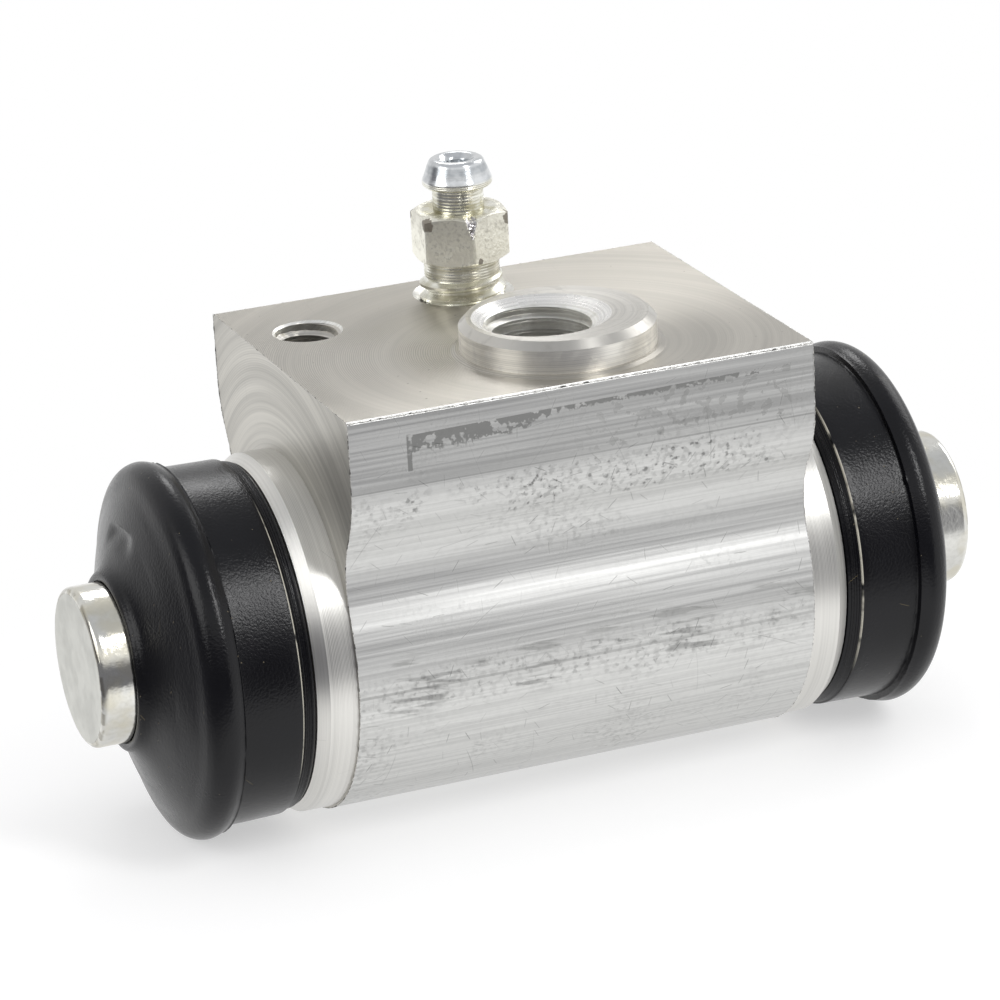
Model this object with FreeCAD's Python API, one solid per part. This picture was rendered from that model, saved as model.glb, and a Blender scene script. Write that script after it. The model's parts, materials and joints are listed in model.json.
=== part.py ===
import FreeCAD
import Part
import math
import os

# Wheel cylinder of a drum brake: an extruded aluminium body with two opposed pistons.
#
# Frame, in millimetres: +Z up, the bore along X. The origin lies on the mounting face,
# on the axis of the locating boss. Turned pieces are drawn for the right-hand end, as
# (distance from the middle of the bore, radius) points, and mirrored for the left-hand end.

# Body, a bar cut from an extrusion and turned down at both ends
body_length = 43.6
face_to_bore = 24.6  # mounting face down to the bore axis
boss_to_bore = 7.2  # boss axis back to the bore axis
boss_to_middle = -2.0  # boss axis along the bore to the middle of the body
bar_width = 35.5
belly_radius = 16.5  # round underside, about the bore axis
shoulder_drop = 5.8  # mounting face down to where the flat sides start to curve in
shoulder_radius = 10.0
waist_radius = 8.0
edge_break = 0.25  # long edges of the mounting face
bore_radius = 11.1
bore_mouth_chamfer = 0.8

# Turned ends that carry the dust boots
collar_radius = 16.3
collar_length = 2.6
collar_chamfer_length = 1.0
collar_chamfer_depth = 0.7
boot_groove_width = 2.1
boot_groove_depth = 0.9  # below the rim
rim_radius = 15.2
rim_length = 3.1
rim_chamfer = 0.5

# Locating boss, a ring that stands in the hole of the backing plate
boss_radius = 8.78
boss_height = 3.0
boss_chamfer = 0.7
foot_ring_width = 0.75  # low bevelled ring left around the boss by the face cutter
foot_ring_height = 0.22
foot_ring_bevel = 0.4

# Fluid connections, both drilled from the mounting side
fluid_plane_x = -1.4  # boss axis to the plane of both connections
port_y = 0.25
port_radius = 5.0  # M10 x 1
port_countersink_radius = 6.23
port_countersink_depth = 0.62
port_depth = 12.0  # from the top of the boss
port_drill_radius = 4.5  # round the seat, below the thread
port_thread_gap = 0.3  # thread's end above the top of the seat
port_seat_radius = 2.4  # raised cone that the pipe flare closes on
port_seat_height = 1.6
port_drilling_radius = 1.5
bleed_y = 19.45
bleed_thread_radius = 4.0  # M8 x 1.25
bleed_countersink = 0.65
bleed_thread_depth = 9.6
bleed_drilling_radius = 1.75

# Fixing hole, blind, tapped M6
fixing_x = -18.0
fixing_y = 15.5
fixing_radius = 3.0
fixing_depth = 12.0
fixing_chamfer = 0.2
drill_point_angle = 118.0

# Pistons
piston_clearance = 0.04
skirt_length = 15.6
skirt_reach = 5.8  # end of the bar out to the end of the skirt
skirt_chamfer = 0.5
centre_recess_radius = 2.0
centre_recess_depth = 1.2
pin_radius = 7.24
pin_length = 14.6  # from the end of the skirt to the flat end face
pin_end_round = 0.62
pin_root_flare = 0.6
pin_groove_inset = 3.3  # flat end face back to the groove for the boot
pin_groove_width = 2.0
pin_groove_depth = 1.0

# Rubber boots
boot_clearance = 0.1
boot_wall = 1.15
band_wall = 0.9
lip_length = 1.3
lip_drop = 0.6
band_length = 5.5
bulge_step = 0.45
bulge_rise = 0.9  # crest of the bulge over the band
bulge_length = 3.15
crease_drop = 0.55  # band radius down to the crease where the cone starts
nose_lip = 0.2  # the boot's edge beyond the groove in the pin
nose_wall = 0.75

# Cup seals and their expanders
cup_clearance = 0.05
cup_base = 2.8
cup_lip_length = 3.6
cup_lip = 1.3
cup_heel_chamfer = 0.4
expander_thickness = 0.6
expander_flare = 2.4
expander_flare_angle = 30.0
expander_gap = 0.1
pilot_height = 1.7
pilot_clearance = 0.35

# Return spring
spring_radius = 5.9  # middle of the wire
spring_wire = 1.1
spring_turns = 4.0
arcs_per_turn = 3
spring_gap = 0.05

# Bleed screw, heights above the mounting face
hex_across_flats = 8.0
hex_bottom = 3.4
hex_height = 4.6
hex_face_radius = 3.85  # flat ring left on the hexagon's ends inside the corner chamfers
hex_chamfer_angle = 30.0
hex_turn = 26.0  # a corner, turned from +X about the screw's axis
neck_radius = 3.5
neck_length = 1.5
screw_clearance = 0.05
thread_length = 9.0
shank_radius = 3.1
seat_clearance = 0.03
seat_land_radius = 1.0
nipple_stem_radius = 2.35
nipple_stem_length = 2.2
barb_radius = 3.22
barb_undercut = 0.25
barb_land = 0.3
barb_cone_length = 1.65
barb_top_radius = 2.55
barb_top_round = 0.35
nipple_bore_radius = 1.2
nipple_bore_chamfer = 0.5
cross_hole_radius = 0.9
cross_hole_rise = 1.6  # screw's tip up to the cross hole

# Worked out from the sizes above
half_body = body_length / 2
bore_y = boss_to_bore
bore_z = -face_to_bore
middle_x = boss_to_middle
groove_start = half_body + collar_length + collar_chamfer_length
rim_start = groove_start + boot_groove_width
rim_end = rim_start + rim_length
skirt_end = half_body + skirt_reach
piston_start = skirt_end - skirt_length
pin_end = skirt_end + pin_length
pin_groove_end = pin_end - pin_groove_inset
pin_groove_start = pin_groove_end - pin_groove_width
expander_seat = piston_start - cup_base - spring_gap
spring_seat = expander_seat - expander_thickness


def polygon(points):
    """Closed wire through points of any plane."""
    return Part.makePolygon(list(points) + [points[0]])


def bore_point(distance, radius):
    """Point above the bore axis, at a distance from its middle."""
    return FreeCAD.Vector(middle_x + distance, bore_y, bore_z + radius)


def turn_about_bore(wire):
    """Solid of revolution about the bore axis."""
    centre = FreeCAD.Vector(middle_x, bore_y, bore_z)
    return Part.Face(wire).revolve(centre, FreeCAD.Vector(1, 0, 0), 360)


def turned(points):
    """Solid turned about the bore axis from (distance, radius) points."""
    return turn_about_bore(polygon([bore_point(d, r) for d, r in points]))


def turned_path(steps):
    """As turned, where a step of two points is an arc through the first to the second."""
    edges = []
    start = bore_point(*steps[0])
    here = start
    for step in steps[1:]:
        if isinstance(step[0], tuple):
            through, end = (bore_point(*p) for p in step)
            edges.append(Part.Arc(here, through, end).toShape())
        else:
            end = bore_point(*step)
            edges.append(Part.makeLine(here, end))
        here = end
    edges.append(Part.makeLine(here, start))
    return turn_about_bore(Part.Wire(edges))


def round_corner(distance, radius, size):
    """Arc step that rounds a square outer corner at (distance, radius)."""
    along = size * math.sin(math.radians(45))
    through = (distance - size + along, radius - size + along)
    return (through, (distance, radius - size))


def turned_upright(x, y, points):
    """Solid turned about the vertical line at x, y from (radius, height) points."""
    wire = polygon([FreeCAD.Vector(x + r, y, z) for r, z in points])
    return Part.Face(wire).revolve(FreeCAD.Vector(x, y, 0), FreeCAD.Vector(0, 0, 1), 360)


def mirrored(shape):
    """The left-hand copy of a right-hand piece."""
    return shape.mirror(FreeCAD.Vector(middle_x, 0, 0), FreeCAD.Vector(1, 0, 0))


def lower_meeting(centre_a, radius_a, centre_b, radius_b):
    """The lower of the two points where two circles meet, for a on the right of b."""
    dy = centre_b[0] - centre_a[0]
    dz = centre_b[1] - centre_a[1]
    apart = math.hypot(dy, dz)
    along = (apart**2 + radius_a**2 - radius_b**2) / (2 * apart)
    aside = math.sqrt(radius_a**2 - along**2)
    y = centre_a[0] + (along * dy + aside * dz) / apart
    z = centre_a[1] + (along * dz - aside * dy) / apart
    return y, z


def toward(start, end, length):
    """Point at a length from start on the line to end."""
    share = length / math.dist(start, end)
    return tuple(a + (b - a) * share for a, b in zip(start, end))


def bar_section():
    """Outline of the extruded bar across the bore: flat sides, shoulders, waists, round belly."""
    half = bar_width / 2
    shoulder = (half - shoulder_radius, face_to_bore - shoulder_drop)
    waist = lower_meeting(
        (0.0, 0.0), belly_radius + waist_radius, shoulder, shoulder_radius + waist_radius
    )
    side_end = (half, shoulder[1])
    waist_top = toward(shoulder, waist, shoulder_radius)
    belly_top = toward((0.0, 0.0), waist, belly_radius)
    lean = math.atan2(waist[1] - shoulder[1], waist[0] - shoulder[0]) / 2
    shoulder_mid = (
        shoulder[0] + shoulder_radius * math.cos(lean),
        shoulder[1] + shoulder_radius * math.sin(lean),
    )
    waist_mid = toward(waist, ((waist_top[0] + belly_top[0]) / 2, (waist_top[1] + belly_top[1]) / 2),
                       waist_radius)

    def at(side, point):
        return FreeCAD.Vector(middle_x - half_body, bore_y + side * point[0], bore_z + point[1])

    top = (half, face_to_bore)
    top_break = (half - edge_break, face_to_bore)
    side_break = (half, face_to_bore - edge_break)
    edges = [Part.makeLine(at(-1, top_break), at(1, top_break))]
    for side in (1, -1):
        edges += [
            Part.makeLine(at(side, top_break), at(side, side_break)),
            Part.makeLine(at(side, side_break), at(side, side_end)),
            Part.Arc(at(side, side_end), at(side, shoulder_mid), at(side, waist_top)).toShape(),
            Part.Arc(at(side, waist_top), at(side, waist_mid), at(side, belly_top)).toShape(),
        ]
    bottom = (0.0, -belly_radius)
    edges.append(Part.Arc(at(1, belly_top), at(1, bottom), at(-1, belly_top)).toShape())
    return Part.Wire(Part.__sortEdges__(edges))


def boot_spigot():
    """Turned end of the body: collar, groove for the boot's bead, and the rim that holds it."""
    groove_radius = rim_radius - boot_groove_depth
    return turned([
        (half_body - collar_length, 0),
        (half_body - collar_length, collar_radius),
        (half_body + collar_length, collar_radius),
        (groove_start, collar_radius - collar_chamfer_depth),
        (groove_start, groove_radius),
        (rim_start, groove_radius),
        (rim_start, rim_radius),
        (rim_end - rim_chamfer, rim_radius),
        (rim_end, rim_radius - rim_chamfer),
        (rim_end, 0),
    ])


def bore_space():
    """The through bore with its chamfered mouths."""
    flare = bore_radius + bore_mouth_chamfer
    half = [
        (0, 0),
        (0, bore_radius),
        (rim_end - bore_mouth_chamfer, bore_radius),
        (rim_end, flare),
        (rim_end + 1, flare),
        (rim_end + 1, 0),
    ]
    right = turned(half)
    return right.fuse(mirrored(right))


def boss_ring():
    """Locating boss with the low ring around its foot."""
    foot_radius = boss_radius + foot_ring_width
    sunk = -boss_height
    return turned_upright(0, 0, [
        (0, sunk),
        (foot_radius, sunk),
        (foot_radius, 0),
        (foot_radius - foot_ring_bevel, foot_ring_height),
        (boss_radius, foot_ring_height),
        (boss_radius, boss_height - boss_chamfer),
        (boss_radius - boss_chamfer, boss_height),
        (0, boss_height),
    ])


def drill_point(radius):
    """Length of the cone that a drill leaves."""
    return radius / math.tan(math.radians(drill_point_angle / 2))


def port_space():
    """Brake pipe connection: countersink, tapped hole, raised flare seat, drilling to the bore."""
    top = boss_height
    floor = top - port_depth
    seat_top = floor + port_seat_height
    thread_end = seat_top + port_thread_gap
    return turned_upright(fluid_plane_x, port_y, [
        (0, bore_z),
        (port_drilling_radius, bore_z),
        (port_drilling_radius, seat_top),
        (port_seat_radius, floor),
        (port_drill_radius, floor),
        (port_drill_radius, thread_end),
        (port_radius, thread_end),
        (port_radius, top - port_countersink_depth),
        (port_countersink_radius, top),
        (port_countersink_radius, top + 1),
        (0, top + 1),
    ])


def bleed_space():
    """Bleed connection: countersink, tapped hole, cone seat, drilling that grazes the bore."""
    floor = -bleed_thread_depth
    seat_end = floor - (bleed_thread_radius - bleed_drilling_radius)
    rim = bleed_thread_radius + bleed_countersink
    return turned_upright(fluid_plane_x, bleed_y, [
        (0, bore_z - drill_point(bleed_drilling_radius)),
        (bleed_drilling_radius, bore_z),
        (bleed_drilling_radius, seat_end),
        (bleed_thread_radius, floor),
        (bleed_thread_radius, -bleed_countersink),
        (rim, 0),
        (rim, 1),
        (0, 1),
    ])


def fixing_space():
    """Blind tapped hole for the fixing screw."""
    rim = fixing_radius + fixing_chamfer
    return turned_upright(fixing_x, fixing_y, [
        (0, -fixing_depth - drill_point(fixing_radius)),
        (fixing_radius, -fixing_depth),
        (fixing_radius, -fixing_chamfer),
        (rim, 0),
        (rim, 1),
        (0, 1),
    ])


def cylinder_body():
    """Aluminium body: extruded bar, turned ends, boss, and all its holes."""
    bar = Part.Face(bar_section()).extrude(FreeCAD.Vector(body_length, 0, 0))
    spigot = boot_spigot()
    solid = bar.fuse([spigot, mirrored(spigot), boss_ring()])
    solid = solid.cut([bore_space(), port_space(), bleed_space(), fixing_space()])
    return solid.removeSplitter().Solids[0]


def piston():
    """Steel piston: skirt in the bore, and a pin that comes out through the boot."""
    radius = bore_radius - piston_clearance
    groove_radius = pin_radius - pin_groove_depth
    return turned_path([
        (piston_start + centre_recess_depth, 0),
        (piston_start, centre_recess_radius),
        (piston_start, radius - skirt_chamfer),
        (piston_start + skirt_chamfer, radius),
        (skirt_end - skirt_chamfer, radius),
        (skirt_end, radius - skirt_chamfer),
        (skirt_end, pin_radius + pin_root_flare),
        (skirt_end + pin_root_flare, pin_radius),
        (pin_groove_start, pin_radius),
        (pin_groove_start, groove_radius),
        (pin_groove_end, groove_radius),
        (pin_groove_end, pin_radius),
        (pin_end - pin_end_round, pin_radius),
        round_corner(pin_end, pin_radius, pin_end_round),
        (pin_end, 0),
    ])


def dust_boot():
    """Rubber boot: bead in the body's groove, band, rounded bulge, cone and bead on the pin."""
    bead_start = groove_start + boot_clearance
    bead_end = rim_start - boot_clearance
    bead_radius = rim_radius - boot_groove_depth + boot_clearance
    band_inner = rim_radius + boot_clearance
    band_outer = band_inner + band_wall
    band_start = bead_start + lip_length
    band_end = band_start + band_length
    crest = band_outer + bulge_rise
    crease = (band_end + bulge_length, band_outer - crease_drop)
    crest_at = band_end + bulge_length * 0.45
    nose = pin_groove_end + nose_lip
    nose_inner = pin_radius + boot_clearance
    nose_outer = nose_inner + nose_wall
    pin_bead_radius = pin_radius - pin_groove_depth + boot_clearance
    cone_foot = (nose - nose_wall, nose_outer + 0.55 * nose_wall)
    inner_foot = (cone_foot[0] - boot_wall, cone_foot[1])
    inner_crease = (crease[0] - boot_wall, crease[1] - 0.35 * boot_wall)
    return turned_path([
        (bead_start, bead_radius),
        (bead_start, band_outer - lip_drop),
        (band_start, band_outer),
        (band_end, band_outer),
        (band_end, band_outer + bulge_step),
        ((crest_at, crest), crease),
        cone_foot,
        (nose, nose_inner + nose_wall / 3),
        (nose, nose_inner),
        (pin_groove_end - boot_clearance, nose_inner),
        (pin_groove_end - boot_clearance, pin_bead_radius),
        (pin_groove_start + boot_clearance, pin_bead_radius),
        (pin_groove_start + boot_clearance, nose_inner),
        inner_foot,
        inner_crease,
        (crest_at, crest - boot_wall),
        (band_end, crest - boot_wall),
        (band_end - bulge_step, band_inner),
        (bead_end, band_inner),
        (bead_end, bead_radius),
    ])


def cup_seal():
    """Rubber cup behind the piston, its lip towards the fluid."""
    radius = bore_radius - cup_clearance
    floor = piston_start - cup_base
    lip_end = floor - cup_lip_length
    return turned([
        (piston_start, 0),
        (piston_start, radius - cup_heel_chamfer),
        (piston_start - cup_heel_chamfer, radius),
        (lip_end, radius),
        (lip_end, radius - cup_lip / 2),
        (floor + cup_lip / 4, radius - 1.6 * cup_lip),
        (floor, radius - 2 * cup_lip),
        (floor, 0),
    ])


def cup_expander():
    """Pressed steel dish that spreads the cup's lip and centres the spring."""
    pilot = spring_radius - spring_wire / 2 - pilot_clearance
    outer = expander_seat
    inner = spring_seat
    slope = math.radians(expander_flare_angle)
    rise = expander_flare * math.tan(slope)
    rim = bore_radius - cup_clearance - 2 * cup_lip - expander_gap
    return turned([
        (outer, pilot - expander_thickness),
        (outer, rim - expander_gap),
        (outer - expander_flare, rim - expander_gap + rise),
        (outer - expander_flare - expander_thickness * math.sin(slope),
         rim - expander_gap + rise - expander_thickness * math.cos(slope)),
        (inner, rim - expander_gap - expander_thickness * math.cos(slope)),
        (inner, pilot),
        (inner - pilot_height, pilot),
        (inner - pilot_height, 0),
        (inner - pilot_height + expander_thickness, 0),
        (inner - pilot_height + expander_thickness, pilot - expander_thickness),
    ])


def coil_point(turn, reach):
    """Point on the wire's middle, a number of turns from the spring's left end."""
    angle = 2 * math.pi * turn
    along = middle_x - reach + 2 * reach * turn / spring_turns
    across = spring_radius * math.cos(angle)
    return FreeCAD.Vector(along, bore_y + across, bore_z + spring_radius * math.sin(angle))


def return_spring():
    """Coil spring between the two expanders, swept along an arc for each third of a turn."""
    reach = spring_seat - spring_wire / 2 - spring_gap
    share = 1 / arcs_per_turn
    arcs = []
    for i in range(round(spring_turns * arcs_per_turn)):
        points = [coil_point((i + half / 2) * share, reach) for half in range(3)]
        arcs.append(Part.Arc(*points).toShape())
    path = Part.Wire(arcs)
    first = arcs[0]
    start = first.valueAt(first.FirstParameter)
    heading = first.tangentAt(first.FirstParameter)
    section = Part.Wire(Part.makeCircle(spring_wire / 2, start, heading))
    return path.makePipeShell([section], True, True)


def hexagon_blank():
    """Hexagon of the bleed screw, its corners chamfered above and below."""
    corner = hex_across_flats / 2 / math.cos(math.radians(30))
    points = []
    for i in range(6):
        angle = math.radians(hex_turn + 60 * i)
        points.append(FreeCAD.Vector(
            fluid_plane_x + corner * math.cos(angle), bleed_y + corner * math.sin(angle), hex_bottom
        ))
    prism = Part.Face(polygon(points)).extrude(FreeCAD.Vector(0, 0, hex_height))
    wide = 1.1 * corner
    fall = (wide - hex_face_radius) * math.tan(math.radians(hex_chamfer_angle))
    top = hex_bottom + hex_height
    envelope = turned_upright(fluid_plane_x, bleed_y, [
        (0, hex_bottom),
        (hex_face_radius, hex_bottom),
        (wide, hex_bottom + fall),
        (wide, top - fall),
        (hex_face_radius, top),
        (0, top),
    ])
    return prism.common(envelope)


def bleed_screw():
    """Bleed screw, closed on its seat: cone tip, thread envelope, neck, hexagon, barbed nipple."""
    thread = bleed_thread_radius - screw_clearance
    thread_top = hex_bottom - neck_length
    thread_end = thread_top - thread_length
    cone_start = -bleed_thread_depth - (bleed_thread_radius - shank_radius) + seat_clearance
    tip = cone_start - (shank_radius - seat_land_radius)
    stem_top = hex_bottom + hex_height + nipple_stem_length
    land_end = stem_top + barb_undercut + barb_land
    crown = land_end + barb_cone_length
    top = crown + barb_top_round
    body = turned_upright(fluid_plane_x, bleed_y, [
        (0, tip),
        (seat_land_radius, tip),
        (shank_radius, cone_start),
        (shank_radius, thread_end - (thread - shank_radius)),
        (thread, thread_end),
        (thread, thread_top - (thread - neck_radius)),
        (neck_radius, thread_top),
        (neck_radius, hex_bottom + hex_height / 2),
        (nipple_stem_radius, hex_bottom + hex_height / 2),
        (nipple_stem_radius, stem_top),
        (barb_radius - barb_undercut, stem_top),
        (barb_radius, stem_top + barb_undercut),
        (barb_radius, land_end),
        (barb_top_radius, crown),
        (barb_top_radius - barb_top_round, top),
        (0, top),
    ])
    passage = turned_upright(fluid_plane_x, bleed_y, [
        (0, tip + cross_hole_rise - drill_point(nipple_bore_radius)),
        (nipple_bore_radius, tip + cross_hole_rise),
        (nipple_bore_radius, top - nipple_bore_chamfer),
        (nipple_bore_radius + nipple_bore_chamfer, top),
        (0, top),
    ])
    across = Part.makeCylinder(
        cross_hole_radius,
        4 * shank_radius,
        FreeCAD.Vector(fluid_plane_x - 2 * shank_radius, bleed_y, tip + cross_hole_rise),
        FreeCAD.Vector(1, 0, 0),
    )
    return body.fuse(hexagon_blank()).cut([passage, across]).removeSplitter().Solids[0]


def build_all():
    """Every piece by its node name."""
    pieces = {
        "cylinder_body": cylinder_body(),
        "bleed_screw": bleed_screw(),
        "return_spring": return_spring(),
    }
    pairs = {
        "piston": piston(),
        "dust_boot": dust_boot(),
        "cup_seal": cup_seal(),
        "cup_expander": cup_expander(),
    }
    for name, shape in pairs.items():
        pieces[name + "_right"] = shape
        pieces[name + "_left"] = mirrored(shape)
    return pieces


os.makedirs("parts", exist_ok=True)
for node, shape in build_all().items():
    shape.exportStep(os.path.join("parts", node + ".step"))
    print(node, shape.ShapeType, len(shape.Solids), shape.isValid(), round(shape.Volume, 1))
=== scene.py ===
"""Looks of a drum brake's wheel cylinder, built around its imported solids.

Sizes are in millimetres in the solids' own frame: the origin lies on the mounting face, on the
locating boss's axis, +Z is up and the bore runs along X. Meshes become metres when they are made.
"""

import json
import logging
import math
from collections.abc import Sequence
from dataclasses import dataclass
from enum import Enum

import bmesh
import bpy
from mathutils import Matrix, Vector, noise

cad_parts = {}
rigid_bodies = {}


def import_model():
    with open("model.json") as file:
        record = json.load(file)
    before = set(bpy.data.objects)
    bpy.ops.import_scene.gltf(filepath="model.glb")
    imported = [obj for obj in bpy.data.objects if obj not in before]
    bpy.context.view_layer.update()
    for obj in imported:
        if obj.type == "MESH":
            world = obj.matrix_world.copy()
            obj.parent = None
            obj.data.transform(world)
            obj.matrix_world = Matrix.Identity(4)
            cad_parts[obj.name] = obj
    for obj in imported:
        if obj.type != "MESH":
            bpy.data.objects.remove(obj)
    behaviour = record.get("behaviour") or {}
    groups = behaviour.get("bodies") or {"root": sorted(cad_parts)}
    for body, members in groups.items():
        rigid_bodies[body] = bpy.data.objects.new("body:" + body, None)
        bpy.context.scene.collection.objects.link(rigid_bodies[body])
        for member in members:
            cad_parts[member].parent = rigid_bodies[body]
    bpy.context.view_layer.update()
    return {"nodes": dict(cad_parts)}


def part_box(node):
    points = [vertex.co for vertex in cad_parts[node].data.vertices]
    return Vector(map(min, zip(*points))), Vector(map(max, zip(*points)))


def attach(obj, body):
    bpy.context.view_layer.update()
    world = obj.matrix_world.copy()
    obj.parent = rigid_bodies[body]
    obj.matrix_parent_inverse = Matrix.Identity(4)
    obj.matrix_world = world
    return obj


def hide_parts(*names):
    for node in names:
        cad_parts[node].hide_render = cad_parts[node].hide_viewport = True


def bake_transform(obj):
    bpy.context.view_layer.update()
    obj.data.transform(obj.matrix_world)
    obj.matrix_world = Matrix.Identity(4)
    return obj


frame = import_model()

log = logging.getLogger("wheel_cylinder")

MM = 0.001
TURN = 2 * math.pi
BORE_Y = 7.2
BORE_Z = -24.6
MIDDLE_X = -2.0
HALF_BODY = 21.8
HALF_WIDTH = 17.75
FRONT_Y = BORE_Y - HALF_WIDTH
FLUID_X = -1.4
PORT_Y = 0.25
BLEED_Y = 19.45
FIXING_X = -18.0
FIXING_Y = 15.5
HEX_TURN = 26.0

Point = tuple[float, float]
Colour = tuple[float, float, float]

WHITE: Colour = (1.0, 1.0, 1.0)


class Zone(Enum):
    """Kinds of surface on the cylinder body."""

    DRAWN = "drawn"
    MILLED = "milled"
    END = "end"
    SPIGOT = "spigot"
    BOSS = "boss"
    # The boss's upright side; its finish is a lighter copy of the boss's, which is painted light.
    BOSS_SIDE_PAINTED_LIGHT = "boss side"
    SINK = "sink"
    HOLE = "hole"


class Side(Enum):
    """The two ends of the bore, by their direction along X."""

    LEFT = -1
    RIGHT = 1


# Shader building


class Signal:
    """A value that changes over a surface, with arithmetic that adds shader nodes."""

    def __init__(self, nodes: "Nodes", socket: bpy.types.NodeSocket) -> None:
        """Keeps the tree's helper and the output socket that carries the value."""
        self.nodes = nodes
        self.socket = socket

    def __add__(self, other: "Signal | float") -> "Signal":
        """Sum."""
        return self.nodes.math("ADD", self, other)

    def __sub__(self, other: "Signal | float") -> "Signal":
        """Difference."""
        return self.nodes.math("SUBTRACT", self, other)

    def __rsub__(self, other: float) -> "Signal":
        """Difference from a number."""
        return self.nodes.math("SUBTRACT", other, self)

    def __mul__(self, other: "Signal | float") -> "Signal":
        """Product."""
        return self.nodes.math("MULTIPLY", self, other)

    def __truediv__(self, other: "Signal | float") -> "Signal":
        """Quotient."""
        return self.nodes.math("DIVIDE", self, other)

    def __rtruediv__(self, other: float) -> "Signal":
        """Quotient of a number."""
        return self.nodes.math("DIVIDE", other, self)

    __radd__ = __add__
    __rmul__ = __mul__

    def apply(self, operation: str, *others: "Signal | float") -> "Signal":
        """Any other operation of the Math node."""
        return self.nodes.math(operation, self, *others)

    def smooth(self, low: float, high: float) -> "Signal":
        """Smooth step from 0 at low to 1 at high; low may be the greater."""
        return self.nodes.smooth(self, low, high)

    def within(self, low: float, high: float, soft: float) -> "Signal":
        """1 between low and high, falling to 0 over a soft edge."""
        return self.smooth(low - soft, low) * self.smooth(high + soft, high)


Value = Signal | float | Sequence[float]


class Nodes:
    """Adds nodes to one tree and joins them."""

    def __init__(self, tree: bpy.types.NodeTree) -> None:
        """Keeps the tree that the nodes go into."""
        self.tree = tree

    def feed(self, socket: bpy.types.NodeSocket, value: Value) -> None:
        """Links a signal to an input socket, or sets its value.

        Args:
            socket: The input.
            value: What it gets.
        """
        if isinstance(value, Signal):
            self.tree.links.new(value.socket, socket)
        else:
            socket.default_value = value

    def add(
        self, kind: str, given: dict[str | int, Value] | None = None, **settings: object
    ) -> bpy.types.Node:
        """Adds one node.

        Args:
            kind: The node's type name.
            given: Values or signals for its inputs, by name or number.
            settings: Values for its own properties.

        Returns:
            The new node.
        """
        node = self.tree.nodes.new(kind)
        for name, value in settings.items():
            setattr(node, name, value)
        for name, value in (given or {}).items():
            self.feed(node.inputs[name], value)
        return node

    def output(self, node: bpy.types.Node, name: str | int = 0) -> Signal:
        """One output of a node, as a signal."""
        return Signal(self, node.outputs[name])

    def math(self, operation: str, *values: Signal | float) -> Signal:
        """A Math node on up to three values."""
        return self.output(self.add("ShaderNodeMath", dict(enumerate(values)), operation=operation))

    def smooth(self, value: Signal, low: float, high: float) -> Signal:
        """Smooth step of a value.

        Args:
            value: The value.
            low: Where the step is 0; it may be the greater of the two.
            high: Where the step is 1.

        Returns:
            The step, from 0 to 1.
        """
        if low > high:
            return 1.0 - self.smooth(value, high, low)
        given = {0: value, 1: low, 2: high}
        return self.output(self.add("ShaderNodeMapRange", given, interpolation_type="SMOOTHSTEP"))

    def mix(self, share: Signal | float, first: Value, second: Value) -> Signal:
        """Mixes two colours; share says how much of the second, from 0 to 1."""
        # Inputs 6 and 7 and output 2 are the node's colour sockets.
        given = {0: share, 6: opaque(first), 7: opaque(second)}
        return self.output(self.add("ShaderNodeMix", given, data_type="RGBA"), 2)

    def combine(self, x: Value, y: Value, z: Value = 0.0) -> Signal:
        """A vector from three values."""
        return self.output(self.add("ShaderNodeCombineXYZ", {0: x, 1: y, 2: z}))

    def split(self, vector: Signal) -> tuple[Signal, Signal, Signal]:
        """The three parts of a vector or colour."""
        node = self.add("ShaderNodeSeparateXYZ", {0: vector})
        return self.output(node, 0), self.output(node, 1), self.output(node, 2)

    def place_mm(self) -> Signal:
        """Place on the object.

        Returns:
            The place in millimetres, in the solids' frame.
        """
        where = self.output(self.add("ShaderNodeTexCoord"), "Object")
        scaled = self.add("ShaderNodeVectorMath", {0: where, "Scale": 1 / MM}, operation="SCALE")
        return self.output(scaled)

    def rays(self) -> tuple[Signal, Signal]:
        """What kind of ray meets the surface.

        Returns:
            Whether it comes from the camera, and whether it left a mirror or glass.
        """
        path = self.add("ShaderNodeLightPath")
        through = self.output(path, "Is Transmission Ray")
        mirrored = self.output(path, "Is Glossy Ray").apply("MAXIMUM", through)
        return self.output(path, "Is Camera Ray"), mirrored

    def outward(self, first: Signal, second: Signal) -> tuple[Signal, Signal]:
        """The direction away from an axis, from the distances to it along two directions."""
        radius = (first * first + second * second).apply("SQRT")
        return first / radius, second / radius

    def noise(self, where: Signal, scale: Value, detail: float = 3.0) -> Signal:
        """Cloudy noise from 0 to 1, with scale clouds per unit of the place and detail finer layers."""
        given = {"Vector": where, "Scale": scale, "Detail": detail}
        return self.output(self.add("ShaderNodeTexNoise", given))

    def flat_noise(self, along: Value, across: Value, scale: Value = 1.0, detail: float = 1.0) -> Signal:
        """Quicker noise over two coordinates; an offset added to one keeps two patterns apart."""
        given = {"Vector": self.combine(along, across), "Scale": scale, "Detail": detail}
        return self.output(self.add("ShaderNodeTexNoise", given, noise_dimensions="2D"))

    def effect(self, effect: "Effect", **given: Value) -> dict[str, Signal]:
        """Places a shared effect.

        Args:
            effect: The effect.
            given: Values or signals for its inputs.

        Returns:
            Its outputs by name.
        """
        node = self.add("ShaderNodeGroup", node_tree=effect.tree())
        for name, value in given.items():
            self.feed(node.inputs[name], value)
        return {socket.name: Signal(self, socket) for socket in node.outputs}

    def bump(self, shader: bpy.types.Node, height: Signal, depth: float) -> None:
        """Raises a surface's normal by a height of 0 to 1 times a depth in millimetres."""
        node = self.add("ShaderNodeBump", {"Height": height, "Distance": depth * MM})
        self.feed(shader.inputs["Normal"], self.output(node, "Normal"))


def opaque(colour: Value) -> Value:
    """Gives a plain colour its alpha.

    Args:
        colour: A colour of three or four parts, or a signal, which passes through.

    Returns:
        The colour with full alpha.
    """
    if isinstance(colour, Signal) or len(colour) == 4:
        return colour
    return (*colour, 1.0)


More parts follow.
